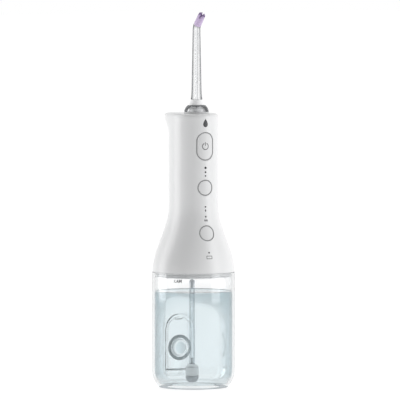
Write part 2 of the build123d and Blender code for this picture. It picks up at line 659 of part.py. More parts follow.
def nozzle_seat():
    """A bulkhead across the grip with the nozzle's socket, its hose barb and the release slide's wall."""
    top = BULKHEAD_Z + BULKHEAD_THICKNESS
    plate = extrude(Face(section(BULKHEAD_Z, SHELL_WALL + 0.3)), BULKHEAD_THICKNESS, dir=(0, 0, 1))
    slot = MEMBRANE_HALF_WIDTH + 0.5
    plate -= block(-slot, slot, -60, BUTTON_BOARD_FACE_Y, BULKHEAD_Z - 1, top + 1)
    body = plate + cyl(SEAT_TUBE_RADIUS, BULKHEAD_Z, SEAT_TOP, 0, NOZZLE_Y)
    body += cyl(1.7, BULKHEAD_Z - 6, BULKHEAD_Z, 0, NOZZLE_Y)
    body += block(-8, 8, RELEASE_WALL_Y - 1.4, RELEASE_WALL_Y, BULKHEAD_Z, RELEASE_BUTTON_Z + 2.6)
    body -= block(-6.4, 6.4, RELEASE_WALL_Y - 3, RELEASE_WALL_Y + 1, CLIP_Z - 1.2, CLIP_Z + 1.2)
    body -= cyl(1.0, BULKHEAD_Z - 7, top + 2, 0, NOZZLE_Y)
    body -= cyl(NOZZLE_SPIGOT_RADIUS + 0.1, SPIGOT_BOTTOM - 0.3, SEAT_TOP + 1, 0, NOZZLE_Y)
    body -= cyl(NOZZLE_SHAFT_RADIUS + RUNNING_CLEARANCE, SHAFT_BOTTOM - 0.2, SEAT_TOP + 1, 0, NOZZLE_Y)
    for side in (-1, 1):
        x0, x1 = sorted((side * (NOZZLE_SHAFT_RADIUS - CLIP_GROOVE), side * (SEAT_TUBE_RADIUS + 0.8)))
        body -= block(x0, x1, NOZZLE_Y - 7, NOZZLE_Y + 7, CLIP_Z - 0.65, CLIP_Z + 0.65)
    return body


def retaining_clip():
    """A springy wire hairpin whose legs hold the nozzle's groove. It opens to the back."""
    leg = NOZZLE_SHAFT_RADIUS - CLIP_GROOVE + CLIP_WIRE_RADIUS + 0.1
    front, back = NOZZLE_Y - 7.6, NOZZLE_Y + 8.6
    path = FilletPolyline(
        (-leg, back, CLIP_Z), (-leg, front, CLIP_Z), (leg, front, CLIP_Z), (leg, back, CLIP_Z), radius=2.5
    )
    return sweep(Plane(path @ 0, z_dir=path % 0) * Circle(CLIP_WIRE_RADIUS), path)


SLIDE_FRONT_Y = NOZZLE_Y + 9.0
SLIDE_BACK_Y = back_depth(CLIP_Z) - 5.0
TONGUE_HALF_WIDTH = NOZZLE_SHAFT_RADIUS - CLIP_GROOVE - 0.25


def release_slider():
    """The tongue that the release button drives between the clip's legs."""
    half = TONGUE_HALF_WIDTH
    tongue = block(-half, half, SLIDE_FRONT_Y, SLIDE_FRONT_Y + 6, CLIP_Z - 0.9, CLIP_Z + 0.9)
    plate = block(-6.0, 6.0, SLIDE_FRONT_Y + 4, SLIDE_BACK_Y, CLIP_Z - 0.9, CLIP_Z + 0.9)
    return tongue + plate


def release_button(skin):
    body = (release_prism(0) & skin) & block(-20, 20, SLIDE_BACK_Y, 60, BULKHEAD_Z, HANDLE_TOP)
    return body - block(-5, 5, SLIDE_BACK_Y - 1, SLIDE_BACK_Y + 1.2, CLIP_Z + 1.0, HANDLE_TOP)


def release_spring():
    start = RELEASE_WALL_Y + SPRING_WIRE_RADIUS
    length = SLIDE_BACK_Y + 1.2 - RELEASE_WALL_Y - 2 * SPRING_WIRE_RADIUS - 0.1
    path = Helix(length / SPRING_TURNS, length, SPRING_RADIUS, center=(0, start, RELEASE_BUTTON_Z + 0.35),
                 direction=(0, 1, 0))
    profile = Plane(path @ 0, z_dir=path % 0) * Circle(SPRING_WIRE_RADIUS)
    return sweep(profile, path, is_frenet=True)


# -------------------------------------------------------------------------------------------- dock and hose
DOCK_BOTTOM = SHELL_BOTTOM - DOCK_SKIRT_DEPTH
DOCK_TOP = SHELL_BOTTOM + DOCK_THICKNESS - 1.6
SEAL_Z = TANK_HEIGHT - 1.9
SKIRT_OUTER = MOUTH_RADIUS - DOCK_CLEARANCE
SEAL_OUTER = MOUTH_RADIUS - 0.1
SEAL_GROOVE = SEAL_OUTER - 2 * SEAL_SECTION - 0.05
BOARD_BACK_Y = BUTTON_BOARD_FACE_Y + BOARD_THICKNESS
SCREW_ANGLES = (90, 210, 330)
SCREW_CIRCLE = BASE_HALF_WIDTH - 6.5


def dock_plate():
    """Closes the shell's foot and plugs the tank's mouth."""
    inside = BASE_HALF_WIDTH - SHELL_WALL - 0.2
    profile = [
        (0, DOCK_BOTTOM + 2.4), (SKIRT_OUTER - 3.2, DOCK_BOTTOM + 2.4), (SKIRT_OUTER - 3.2, DOCK_BOTTOM),
        (SKIRT_OUTER, DOCK_BOTTOM), (SKIRT_OUTER, SEAL_Z - SEAL_SECTION - 0.1),
        (SEAL_GROOVE, SEAL_Z - SEAL_SECTION - 0.1), (SEAL_GROOVE, SEAL_Z + SEAL_SECTION + 0.1),
        (SKIRT_OUTER, SEAL_Z + SEAL_SECTION + 0.1), (SKIRT_OUTER, SHELL_BOTTOM), (inside, SHELL_BOTTOM),
        (inside, DOCK_TOP), (0, DOCK_TOP),
    ]
    body = turned(profile) - cyl(2.2, DOCK_BOTTOM - 1, DOCK_TOP + 1, HOSE_X, 0)
    for side in (-1, 1):
        x0, x1 = sorted((side * 4.5, side * 7.5))
        foot, low = DOCK_TOP - 0.5, BUTTON_BOARD_BOTTOM_Z
        post = block(x0, x1, BOARD_BACK_Y - 3.4, BOARD_BACK_Y + 1.4, foot, low + 4)
        body += post - block(x0 - 1, x1 + 1, BUTTON_BOARD_FACE_Y - 0.1, BOARD_BACK_Y + 0.1, low, low + 5)
    for angle in SCREW_ANGLES:
        x, y = SCREW_CIRCLE * cos(radians(angle)), SCREW_CIRCLE * sin(radians(angle))
        body -= cyl(1.2, DOCK_BOTTOM, DOCK_TOP + 1, x, y)
        body -= cyl(2.3, DOCK_BOTTOM + 1, DOCK_BOTTOM + 4.0, x, y)
    return body


def dock_screws():
    """Three screws up through the dock plate into the drive frame's foot ring."""
    screws = []
    for angle in SCREW_ANGLES:
        x, y = SCREW_CIRCLE * cos(radians(angle)), SCREW_CIRCLE * sin(radians(angle))
        head = cyl(2.1, DOCK_BOTTOM + 2.5, DOCK_BOTTOM + 4.0, x, y)
        drive = Pos(x, y, DOCK_BOTTOM + 2.9) * (Box(2.6, 0.6, 0.8) + Box(0.6, 2.6, 0.8))
        shank = cyl(1.1, DOCK_BOTTOM + 4.0, DOCK_TOP + FRAME_FOOT, x, y)
        screws.append((head + shank - drive).solids()[0])
    return Compound(children=screws)


def dock_seal():
    return Pos(0, 0, SEAL_Z) * Torus(SEAL_OUTER - SEAL_SECTION, SEAL_SECTION)


SUCTION_ELBOW_Z = DOCK_TOP + 2.6
RISER = (-9.5, -11.0)  # where the inlet tube goes up, in plan
FLOW_BORE = 0.7


def suction_fitting():
    """The barb that the hose hangs from, with its elbow above the dock plate."""
    bottom = HOSE_TOP_Z - 6.0
    body = cyl(HOSE_BORE_RADIUS - 0.05, bottom, DOCK_BOTTOM, HOSE_X, 0)
    body += cyl(2.15, DOCK_BOTTOM - 0.8, SUCTION_ELBOW_Z, HOSE_X, 0)
    body += cyl(3.4, DOCK_BOTTOM + 0.9, DOCK_BOTTOM + 2.3, HOSE_X, 0)
    body += cyl_y(1.15, -6.5, 0, HOSE_X, SUCTION_ELBOW_Z) + cyl_y(2.15, -2.5, 2.15, HOSE_X, SUCTION_ELBOW_Z)
    body -= cyl(FLOW_BORE, bottom - 1, SUCTION_ELBOW_Z, HOSE_X, 0)
    return body - cyl_y(FLOW_BORE, -7, 0, HOSE_X, SUCTION_ELBOW_Z)


def suction_hose():
    bore = cyl(HOSE_BORE_RADIUS, HOSE_BOTTOM_Z - 1, HOSE_TOP_Z + 1, HOSE_X, 0)
    return cyl(HOSE_RADIUS, HOSE_BOTTOM_Z, HOSE_TOP_Z, HOSE_X, 0) - bore


STRAINER_BOTTOM = TANK_FLOOR + PICKUP_LIFT_OFF_FLOOR
WEIGHT_BOTTOM = STRAINER_BOTTOM + STRAINER_LENGTH
WEIGHT_TOP = WEIGHT_BOTTOM + PICKUP_WEIGHT_LENGTH
HOSE_BOTTOM_Z = WEIGHT_TOP + PICKUP_CAP_LENGTH


def pickup_cap():
    """The white collar that joins the hose to the weight."""
    barb = HOSE_BORE_RADIUS - 0.05
    profile = [
        (FLOW_BORE, WEIGHT_TOP), (PICKUP_CAP_RADIUS, WEIGHT_TOP), (PICKUP_CAP_RADIUS, HOSE_BOTTOM_Z - 1.2),
        (PICKUP_CAP_RADIUS - 1.2, HOSE_BOTTOM_Z), (barb, HOSE_BOTTOM_Z), (barb, HOSE_BOTTOM_Z + 5.0),
        (FLOW_BORE, HOSE_BOTTOM_Z + 5.0),
    ]
    return turned(profile, HOSE_X, 0)


def pickup_weight():
    """A polished steel sleeve that keeps the pickup at the lowest point."""
    edge = 0.4
    profile = [
        (2.4, WEIGHT_BOTTOM), (PICKUP_RADIUS - edge, WEIGHT_BOTTOM), (PICKUP_RADIUS, WEIGHT_BOTTOM + edge),
        (PICKUP_RADIUS, WEIGHT_TOP - edge), (PICKUP_RADIUS - edge, WEIGHT_TOP), (2.4, WEIGHT_TOP),
    ]
    return turned(profile, HOSE_X, 0)


def pickup_strainer():
    """The grey foot with intake slots, on a tube up through the weight."""
    low, high = STRAINER_BOTTOM, WEIGHT_BOTTOM
    foot = Polyline((FLOW_BORE, 0, high), (PICKUP_RADIUS, 0, high), (PICKUP_RADIUS, 0, high - 1.2))
    foot += ThreePointArc(
        (PICKUP_RADIUS, 0, high - 1.2), (PICKUP_RADIUS - 0.8, 0, low + 1.6), (2.6, 0, low)
    )
    foot += Polyline((2.6, 0, low), (FLOW_BORE, 0, low), (FLOW_BORE, 0, high))
    body = Pos(HOSE_X, 0, 0) * revolve(make_face(foot), Axis.Z)
    body += cyl(2.3, high - 0.5, WEIGHT_TOP, HOSE_X, 0) - cyl(FLOW_BORE, low, WEIGHT_TOP + 1, HOSE_X, 0)
    for turn in range(0, 180, 45):
        body -= Pos(HOSE_X, 0, low) * Rot(0, 0, turn) * Box(2 * PICKUP_RADIUS + 1, 0.7, 2.0)
    return body


# ------------------------------------------------------------------------------------------- drive and pump
CENTRE_DISTANCE = GEAR_MODULE * (PINION_TEETH + GEAR_TEETH) / 2
GEAR_Y = MOTOR_Y - CENTRE_DISTANCE * cos(radians(GEAR_ANGLE))
GEAR_Z = MOTOR_Z + CENTRE_DISTANCE * sin(radians(GEAR_ANGLE))
YOKE_HALF_WIDTH = CRANK_THROW + CRANK_PIN_RADIUS + YOKE_CLEARANCE
YOKE_HALF_HEIGHT = 2 * CRANK_THROW + CRANK_PIN_RADIUS + YOKE_CLEARANCE
YOKE_X = PISTON_X - YOKE_THICKNESS / 2
GEAR_END_X = GEAR_X + GEAR_WIDTH
GEAR_RIM_RADIUS = GEAR_MODULE * GEAR_TEETH / 2 - 2.8  # inside of the rim that carries the teeth
PUMP_BOTTOM_Z = GEAR_Z + YOKE_HALF_HEIGHT + YOKE_BAR + CRANK_THROW + YOKE_TO_PUMP
PUMP_TOP_Z = PUMP_BOTTOM_Z + PUMP_LENGTH


def gear_outline(teeth, phase):
    """Involute teeth with a short addendum, as a face. At phase 0 a tooth points along the first axis."""
    pressure = radians(20)
    pitch = GEAR_MODULE * teeth / 2
    base = pitch * cos(pressure)
    tip, root = pitch + 0.75 * GEAR_MODULE, pitch - 1.05 * GEAR_MODULE
    half_pitch_angle = pi / (2 * teeth) - BACKLASH / (4 * pitch)
    involute_at_pitch = tan(pressure) - pressure

    def half_angle(r):
        """Half of a tooth's angle at a radius."""
        if r <= base:
            return half_pitch_angle + involute_at_pitch
        turn = acos(base / r)
        return half_pitch_angle + involute_at_pitch - (tan(turn) - turn)

    radii = [root] + [max(root, base) + (tip - max(root, base)) * i / 4 for i in range(5)]
    radii = sorted(set(radii))
    points = []
    for tooth in range(teeth):
        middle = phase + 2 * pi * tooth / teeth
        for side in (-1, 1):
            for r in radii if side < 0 else reversed(radii):
                angle = middle + side * half_angle(r)
                points.append((r * cos(angle), r * sin(angle)))
    return make_face(Polyline(*points, close=True))


def gear_solid(teeth, phase, y, z, x0, width):
    plane = Plane((x0, y, z), x_dir=(0, 1, 0), z_dir=(1, 0, 0))
    return extrude(plane * gear_outline(teeth, phase), width)


LINE_OF_CENTRES = atan2(GEAR_Z - MOTOR_Z, GEAR_Y - MOTOR_Y)


def pinion():
    body = gear_solid(PINION_TEETH, LINE_OF_CENTRES, MOTOR_Y, MOTOR_Z, GEAR_X, GEAR_WIDTH)
    return body - cyl_x(1.0, 0, 20, MOTOR_Y, MOTOR_Z)


def motor_shaft():
    return cyl_x(1.0, MOTOR_FRONT_X - 15, GEAR_END_X + 0.3, MOTOR_Y, MOTOR_Z)


def motor_can():
    body = cyl_x(MOTOR_RADIUS, MOTOR_BACK_X, MOTOR_FRONT_X, MOTOR_Y, MOTOR_Z)
    body += cyl_x(3.0, MOTOR_FRONT_X, MOTOR_FRONT_X + 1.2, MOTOR_Y, MOTOR_Z)
    body += cyl_x(3.0, MOTOR_BACK_X - 1.2, MOTOR_BACK_X, MOTOR_Y, MOTOR_Z)
    for dz in (-4.5, 4.5):
        z0, z1 = MOTOR_Z + dz - 0.4, MOTOR_Z + dz + 0.4
        body += block(MOTOR_BACK_X - 2.5, MOTOR_BACK_X, MOTOR_Y - 1, MOTOR_Y + 1, z0, z1)
    return body - cyl_x(1.05, MOTOR_FRONT_X - 15.5, MOTOR_FRONT_X + 5, MOTOR_Y, MOTOR_Z)


def drive_gear():
    """The reduction gear, with the crank pin on its inner face and a hub on its axle."""
    gap_phase = LINE_OF_CENTRES + pi + pi / GEAR_TEETH
    body = gear_solid(GEAR_TEETH, gap_phase, GEAR_Y, GEAR_Z, GEAR_X, GEAR_WIDTH)
    for hub, x0, x1 in ((5.6, GEAR_X - 1, GEAR_X + 1), (4.0, GEAR_END_X - 1, GEAR_END_X + 1)):
        body -= cyl_x(GEAR_RIM_RADIUS, x0, x1, GEAR_Y, GEAR_Z) - cyl_x(hub, x0, x1, GEAR_Y, GEAR_Z)
    body += cyl_x(3.2, GEAR_END_X, FRAME_WALL_B_X - 0.3, GEAR_Y, GEAR_Z)
    body += cyl_x(CRANK_PIN_RADIUS, YOKE_X - 0.3, GEAR_X, GEAR_Y - CRANK_THROW, GEAR_Z)
    return body - cyl_x(1.55, GEAR_X + 1.0, 20, GEAR_Y, GEAR_Z)


def gear_axle():
    return cyl_x(1.5, GEAR_X + 1.1, FRAME_WALL_B_X + 2.2, GEAR_Y, GEAR_Z)


def piston_yoke():
    """The slotted yoke that the crank pin runs in, with the piston's rod."""
    half_w, half_h = YOKE_HALF_WIDTH + YOKE_BAR, YOKE_HALF_HEIGHT + YOKE_BAR
    x0, x1 = YOKE_X, YOKE_X + YOKE_THICKNESS
    body = block(x0, x1, GEAR_Y - half_w, GEAR_Y + half_w, GEAR_Z - half_h, GEAR_Z + half_h)
    body -= block(x0 - 1, x1 + 1, GEAR_Y - YOKE_HALF_WIDTH, GEAR_Y + YOKE_HALF_WIDTH,
                  GEAR_Z - YOKE_HALF_HEIGHT, GEAR_Z + YOKE_HALF_HEIGHT)
    rod_top = PISTON_BOTTOM_Z + PISTON_LENGTH - 1.5
    return body + cyl(PISTON_ROD_RADIUS, GEAR_Z + half_h - 0.5, rod_top, PISTON_X, GEAR_Y)


PISTON_BOTTOM_Z = PUMP_BOTTOM_Z + 5.5


def piston():
    body = cyl(PISTON_RADIUS, PISTON_BOTTOM_Z, PISTON_BOTTOM_Z + PISTON_LENGTH, PISTON_X, GEAR_Y)
    body -= Pos(PISTON_X, GEAR_Y, PISTON_BOTTOM_Z + PISTON_LENGTH - 1.6) * Torus(PISTON_RADIUS, 0.45)
    rod_top = PISTON_BOTTOM_Z + PISTON_LENGTH - 1.5
    return body - cyl(PISTON_ROD_RADIUS, PISTON_BOTTOM_Z - 1, rod_top, PISTON_X, GEAR_Y)


def pump_body():
    body = cyl(PUMP_RADIUS, PUMP_BOTTOM_Z, PUMP_TOP_Z, PISTON_X, GEAR_Y)
    body -= cyl(PUMP_BORE_RADIUS, PUMP_BOTTOM_Z + 1.5, PUMP_TOP_Z + 1, PISTON_X, GEAR_Y)
    return body - cyl(PISTON_ROD_RADIUS + 0.1, PUMP_BOTTOM_Z - 1, PUMP_TOP_Z, PISTON_X, GEAR_Y)


HEAD_TOP = PUMP_TOP_Z + PUMP_HEAD_HEIGHT
INLET_Z = PUMP_TOP_Z + 2.4


def pump_head():
    """Holds the two check valves: the inlet comes in at the side and the outlet leaves at the top."""
    body = cyl(PUMP_RADIUS, PUMP_TOP_Z, HEAD_TOP, PISTON_X, GEAR_Y)
    body += cyl(1.15, HEAD_TOP, HEAD_TOP + 5, PISTON_X, GEAR_Y)
    body += cyl_x(1.15, PISTON_X - PUMP_RADIUS - 3.6, PISTON_X - 3, GEAR_Y, INLET_Z)
    body -= cyl(FLOW_BORE, PUMP_TOP_Z - 1, HEAD_TOP + 6, PISTON_X, GEAR_Y)
    body -= cyl_x(FLOW_BORE, PISTON_X - PUMP_RADIUS - 6, PISTON_X, GEAR_Y, INLET_Z)
    body -= cyl(2.2, PUMP_TOP_Z + 4.2, PUMP_TOP_Z + 5.8, PISTON_X, GEAR_Y)
    return body - cyl_x(1.8, PISTON_X - 4.4, PISTON_X - 3.0, GEAR_Y, INLET_Z)


def check_valves():
    """A rubber disc for the outlet and one for the inlet."""
    outlet = cyl(1.9, PUMP_TOP_Z + 4.25, PUMP_TOP_Z + 5.05, PISTON_X, GEAR_Y)
    inlet = cyl_x(1.5, PISTON_X - 4.3, PISTON_X - 3.6, GEAR_Y, INLET_Z)
    return Compound(children=[outlet.solids()[0], inlet.solids()[0]])


def inlet_tube():
    """The soft tube from the suction elbow up to the pump head."""
    start = (HOSE_X, -3.0, SUCTION_ELBOW_Z)
    end = (PISTON_X - PUMP_RADIUS - 0.5, GEAR_Y, INLET_Z)
    points = [
        start, (HOSE_X, RISER[1], SUCTION_ELBOW_Z), (RISER[0], RISER[1], SUCTION_ELBOW_Z + 6),
        (RISER[0], RISER[1], INLET_Z - 8), (RISER[0], GEAR_Y, INLET_Z), end,
    ]
    return tube(points, 3.0, TUBE_RADIUS, TUBE_BORE_RADIUS)


def delivery_tube():
    """The soft tube from the pump head up to the nozzle's seat."""
    points = [
        (PISTON_X, GEAR_Y, HEAD_TOP + 0.5), (PISTON_X, GEAR_Y, HEAD_TOP + 8),
        (0, NOZZLE_Y, BULKHEAD_Z - 12), (0, NOZZLE_Y, BULKHEAD_Z - 0.5),
    ]
    return tube(points, 8.0, TUBE_RADIUS + 0.3, TUBE_BORE_RADIUS + 0.55)


def drive_frame():
    """The moulded frame on the dock plate: a foot, the motor's wall and the gear's wall."""
    low, foot_top = DOCK_TOP, DOCK_TOP + FRAME_FOOT
    ring = cyl(BASE_HALF_WIDTH - 3.2, low, foot_top) - cyl(BASE_HALF_WIDTH - 10, low - 1, foot_top + 1)
    bridge = block(-4, 4, -BASE_HALF_WIDTH + 8, BASE_HALF_WIDTH - 8, low, foot_top)
    bridge -= cyl(5.0, low - 1, foot_top + 1, HOSE_X, 0)
    bridge -= block(-6, 6, -26, 6, low - 1, foot_top + 1)
    body = ring + block(2.6, 13, -19, 22, low, foot_top) + bridge
    wall_x, wall_end = MOTOR_FRONT_X, MOTOR_FRONT_X + 1.4
    under_yoke = GEAR_Z - YOKE_HALF_HEIGHT - YOKE_BAR - CRANK_THROW - 0.6
    behind_yoke = GEAR_Y + YOKE_HALF_WIDTH + YOKE_BAR + 0.5
    wall_a = block(wall_x, wall_end, -4, 18, foot_top - 0.5, under_yoke)
    wall_a += block(wall_x, wall_end, behind_yoke, 18, foot_top, MOTOR_Z + 9.5)
    wall_a -= cyl_x(3.1, 0, 10, MOTOR_Y, MOTOR_Z)
    wall_b = block(FRAME_WALL_B_X, FRAME_WALL_B_X + 1.8, -8, 12, foot_top - 0.5, SPINE_BOTTOM)
    wall_b -= cyl_x(1.5, 0, 20, GEAR_Y, GEAR_Z)
    rib = block(FRAME_WALL_B_X, FRAME_WALL_B_X + 5, 8, 9.5, foot_top - 0.5, foot_top + 14)
    body += wall_a + wall_b + rib
    for angle in SCREW_ANGLES:
        x, y = SCREW_CIRCLE * cos(radians(angle)), SCREW_CIRCLE * sin(radians(angle))
        body -= cyl(1.1, low - 1, foot_top + 1, x, y)
    return body - block(-8, 8, -60, BOARD_BACK_Y + 1.6, low - 1, foot_top + 1)


# ------------------------------------------------------------------------------------------ battery, boards
SPINE_BOTTOM = PUMP_BOTTOM_Z + 0.5
CELL_TOP = CELL_BOTTOM_Z + CELL_LENGTH
SPINE_BACK_Y = SPINE_FRONT_Y + SPINE_THICKNESS
MAIN_BOARD_BOTTOM_Z = CELL_BOTTOM_Z + 1


def inner_frame():
    """The spine up the grip: it carries the cell, the pump and the boards."""
    body = block(-SPINE_HALF_WIDTH, SPINE_HALF_WIDTH, SPINE_FRONT_Y, SPINE_BACK_Y, SPINE_BOTTOM, BULKHEAD_Z)
    for side in (-1, 1):
        x0, x1 = sorted((side * (CELL_RADIUS + 0.3), side * (CELL_RADIUS + 1.5)))
        body += block(x0, x1, SPINE_BACK_Y - 0.4, CELL_Y + 1, CELL_BOTTOM_Z, CELL_TOP)
    for z0, z1 in ((SPINE_BOTTOM, CELL_BOTTOM_Z - 1.2), (CELL_TOP + 1.2, CELL_TOP + 2.6)):
        body += block(-CELL_RADIUS - 1.5, CELL_RADIUS + 1.5, SPINE_BACK_Y - 0.4, CELL_Y + 4, z0, z1)
    for z in (BULKHEAD_Z - 20.0, BULKHEAD_Z - 7.0):
        for x in (-6.5, 6.5):
            body += cyl_y(1.5, BOARD_BACK_Y, SPINE_FRONT_Y + 0.4, x, z)
    return body


def battery_cell():
    body = cyl(CELL_RADIUS, CELL_BOTTOM_Z, CELL_TOP - 1.0, 0, CELL_Y)
    return body + cyl(2.6, CELL_TOP - 1.0, CELL_TOP, 0, CELL_Y)


def battery_contacts():
    """A nickel strip at each end of the cell."""
    low = block(-5, 5, CELL_Y - 4, CELL_Y + 4, CELL_BOTTOM_Z - 1.2, CELL_BOTTOM_Z)
    high = block(-5, 5, CELL_Y - 4, CELL_Y + 4, CELL_TOP, CELL_TOP + 1.2)
    return Compound(children=[low.solids()[0], high.solids()[0]])


def button_board():
    half = BUTTON_BOARD_HALF_WIDTH
    return block(-half, half, BUTTON_BOARD_FACE_Y, BOARD_BACK_Y, BUTTON_BOARD_BOTTOM_Z, BULKHEAD_Z - 0.4)


def switch_height(z):
    """The height of the switch behind a key, kept under the bulkhead."""
    return min(z, BULKHEAD_Z - SWITCH_HALF - 1.5)


def tact_switches():
    """One switch behind each key."""
    switches = []
    for z in (switch_height(z) for z, _, _ in BUTTONS.values()):
        body = block(
            -SWITCH_HALF, SWITCH_HALF, BUTTON_BOARD_FACE_Y - 1.7, BUTTON_BOARD_FACE_Y,
            z - SWITCH_HALF, z + SWITCH_HALF,
        )
        body += cyl_y(1.4, SWITCH_TOP_Y, BUTTON_BOARD_FACE_Y - 1.7, 0, z)
        switches.append(body.solids()[0])
    return Compound(children=switches)


def main_board():
    return block(
        MAIN_BOARD_X, MAIN_BOARD_X + BOARD_THICKNESS, -9.5, SPINE_FRONT_Y, MAIN_BOARD_BOTTOM_Z, CELL_TOP - 1
    )


def board_components():
    """The motor driver, the charger chip, an inductor and two capacitors on the main board."""
    x, foot = MAIN_BOARD_X + BOARD_THICKNESS, MAIN_BOARD_BOTTOM_Z
    sizes = ((-3, 1.5, 8, 13, 1.1), (-6, -2, 20, 24, 1.0), (-5, 0, 30, 35, 2.0))
    chips = [
        block(x, x + high, y0, y1, foot + z0, foot + z1).solids()[0] for y0, y1, z0, z1, high in sizes
    ]
    for rise in (40, 44):
        chips.append(cyl_x(1.5, x, x + 2.0, -3.0, foot + rise).solids()[0])
    return Compound(children=chips)


def charge_socket():
    """A small flat charging receptacle, its mouth to the back."""
    mouth = back_depth(PORT_Z) - SHELL_WALL - 0.2
    z0, z1 = PORT_Z - PORT_HALF_HEIGHT, PORT_Z + PORT_HALF_HEIGHT
    outer = block(-PORT_HALF_WIDTH, PORT_HALF_WIDTH, mouth - SOCKET_DEPTH, mouth, z0, z1)
    outer = fillet(outer.edges().filter_by(Axis.Y), PORT_HALF_HEIGHT - 0.15)
    room_half = PORT_HALF_WIDTH - 0.4
    room = block(-room_half, room_half, mouth - SOCKET_DEPTH + 1, mouth + 1, z0 + 0.4, z1 - 0.4)
    tongue = block(-3.3, 3.3, mouth - SOCKET_DEPTH + 0.5, mouth - 0.8, PORT_Z - 0.35, PORT_Z + 0.35)
    return outer - fillet(room.edges().filter_by(Axis.Y), PORT_HALF_HEIGHT - 0.55) + tongue


def charge_board():
    mouth = back_depth(PORT_Z) - SHELL_WALL - 0.2
    top = PORT_Z - PORT_HALF_HEIGHT
    low = DOCK_TOP + FRAME_FOOT
    board = block(-7, 7, mouth - SOCKET_DEPTH - 3, mouth - 1.5, top - 1.0, top)
    for x in (-5.5, 5.5):
        board += cyl(1.2, low, top - 1.0, x, mouth - 5.0)
    return board


def port_cover(skin):
    """A soft flap over the charging port, with a lip that plugs the mouth and a bead that it hinges on."""
    flap = (cover_prism(0, 60) & skin) - handle_form(COVER_DEPTH)
    half, face = PORT_HALF_WIDTH - 0.1, back_depth(PORT_Z)
    plug = block(
        -half, half, face - 1.9, face - 0.8, PORT_Z - PORT_HALF_HEIGHT + 0.3, PORT_Z + PORT_HALF_HEIGHT - 0.1
    )
    return flap + plug


# -------------------------------------------------------------------------------------------- all the nodes
def build():
    form, cavity = handle_form(0), inner_form(0)
    key_skin, key_under = handle_form(BUTTON_SINK), handle_form(BUTTON_SINK + BUTTON_THICKNESS)
    sheet_out, sheet_in = inner_form(SHEET_CLEARANCE), inner_form(SHEET_CLEARANCE + MEMBRANE_THICKNESS)
    parts = {
        "tank": tank(), "fill_gasket": fill_gasket(), "door_hinge_pin": door_hinge_pin(),
        "fill_door": fill_door(), "fill_plug": fill_plug(),
        "handle_shell": handle_shell(form, cavity), "top_cap": top_cap(),
        "dock_plate": dock_plate(), "dock_screws": dock_screws(), "dock_seal": dock_seal(),
        "suction_fitting": suction_fitting(), "suction_hose": suction_hose(),
        "pickup_cap": pickup_cap(), "pickup_weight": pickup_weight(), "pickup_strainer": pickup_strainer(),
        "drive_frame": drive_frame(), "motor_can": motor_can(), "motor_shaft": motor_shaft(),
        "pinion": pinion(), "drive_gear": drive_gear(), "gear_axle": gear_axle(),
        "piston_yoke": piston_yoke(), "piston": piston(), "pump_body": pump_body(),
        "pump_head": pump_head(), "check_valves": check_valves(),
        "inlet_tube": inlet_tube(), "delivery_tube": delivery_tube(),
        "inner_frame": inner_frame(), "battery_cell": battery_cell(), "battery_contacts": battery_contacts(),
        "main_board": main_board(), "board_components": board_components(),
        "button_board": button_board(), "tact_switches": tact_switches(),
        "button_membrane": button_membrane(sheet_out, sheet_in),
        "charge_board": charge_board(), "charge_socket": charge_socket(), "port_cover": port_cover(form),
        "nozzle_seat": nozzle_seat(), "retaining_clip": retaining_clip(),
        "release_button": release_button(key_skin), "release_slider": release_slider(),
        "release_spring": release_spring(),
        "rotation_ring": rotation_ring(), "ring_clip": ring_clip(),
        "nozzle_core": nozzle_core(), "nozzle_skirt": nozzle_skirt(), "nozzle_stem": nozzle_stem(),
        "nozzle_tip": nozzle_tip(), "nozzle_o_ring": nozzle_o_ring(),
    }
    for name in BUTTONS:
        parts[name] = button(name, key_skin, key_under)
    for name in LIGHTS:
        parts[name] = light_guides(name, form)
    return parts


os.makedirs("parts", exist_ok=True)
for node, shape in build().items():
    export_step(shape, f"parts/{node}.step")
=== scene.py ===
import json
import math

import bmesh
import bpy
from mathutils import Matrix, Vector


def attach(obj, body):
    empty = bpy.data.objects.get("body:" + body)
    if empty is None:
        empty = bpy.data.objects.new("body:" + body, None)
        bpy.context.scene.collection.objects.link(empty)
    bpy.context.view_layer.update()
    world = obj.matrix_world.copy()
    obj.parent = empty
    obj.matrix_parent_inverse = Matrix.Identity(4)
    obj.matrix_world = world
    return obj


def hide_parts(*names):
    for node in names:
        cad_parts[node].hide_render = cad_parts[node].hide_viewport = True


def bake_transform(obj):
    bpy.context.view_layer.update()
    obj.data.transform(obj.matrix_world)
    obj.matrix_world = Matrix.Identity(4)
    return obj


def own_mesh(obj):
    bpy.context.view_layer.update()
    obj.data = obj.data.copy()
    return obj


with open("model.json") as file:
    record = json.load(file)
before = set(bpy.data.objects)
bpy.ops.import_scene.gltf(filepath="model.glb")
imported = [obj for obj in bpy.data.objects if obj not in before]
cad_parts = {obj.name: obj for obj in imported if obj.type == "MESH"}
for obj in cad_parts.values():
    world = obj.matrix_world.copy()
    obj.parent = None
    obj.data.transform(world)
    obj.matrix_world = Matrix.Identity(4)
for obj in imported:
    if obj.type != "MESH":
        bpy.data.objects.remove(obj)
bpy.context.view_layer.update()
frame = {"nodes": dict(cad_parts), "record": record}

NODES = frame["nodes"]
MM = 0.001

# ------------------------------------------------------------------ sizes that repeat the model's, in metres
TANK_INSIDE = 31.0 * MM
TANK_FLOOR = 3.0 * MM
CORNER_CENTRE = (13.6 * MM, 14.0 * MM)
CORNER_INSIDE = 17.4 * MM
WATER_LEVEL = 76.3 * MM
WATER_GAP = 0.12 * MM
DOOR_BOSS = (12.8 * MM, 26.1 * MM, 56.4 * MM, 6.85 * MM)  # half width, inner face, top, bottom
FILL_HOLE = (7.5 * MM, 29.7 * MM)
FACET = 28.6 * MM
HOSE_ROUTE = [(-1.2 * MM, 0.0, z * MM) for z in (85.0, 62.8, 40.7, 18.5)]
HOSE_RADIUS = 2.1 * MM
HOSE_BORE = 1.25 * MM


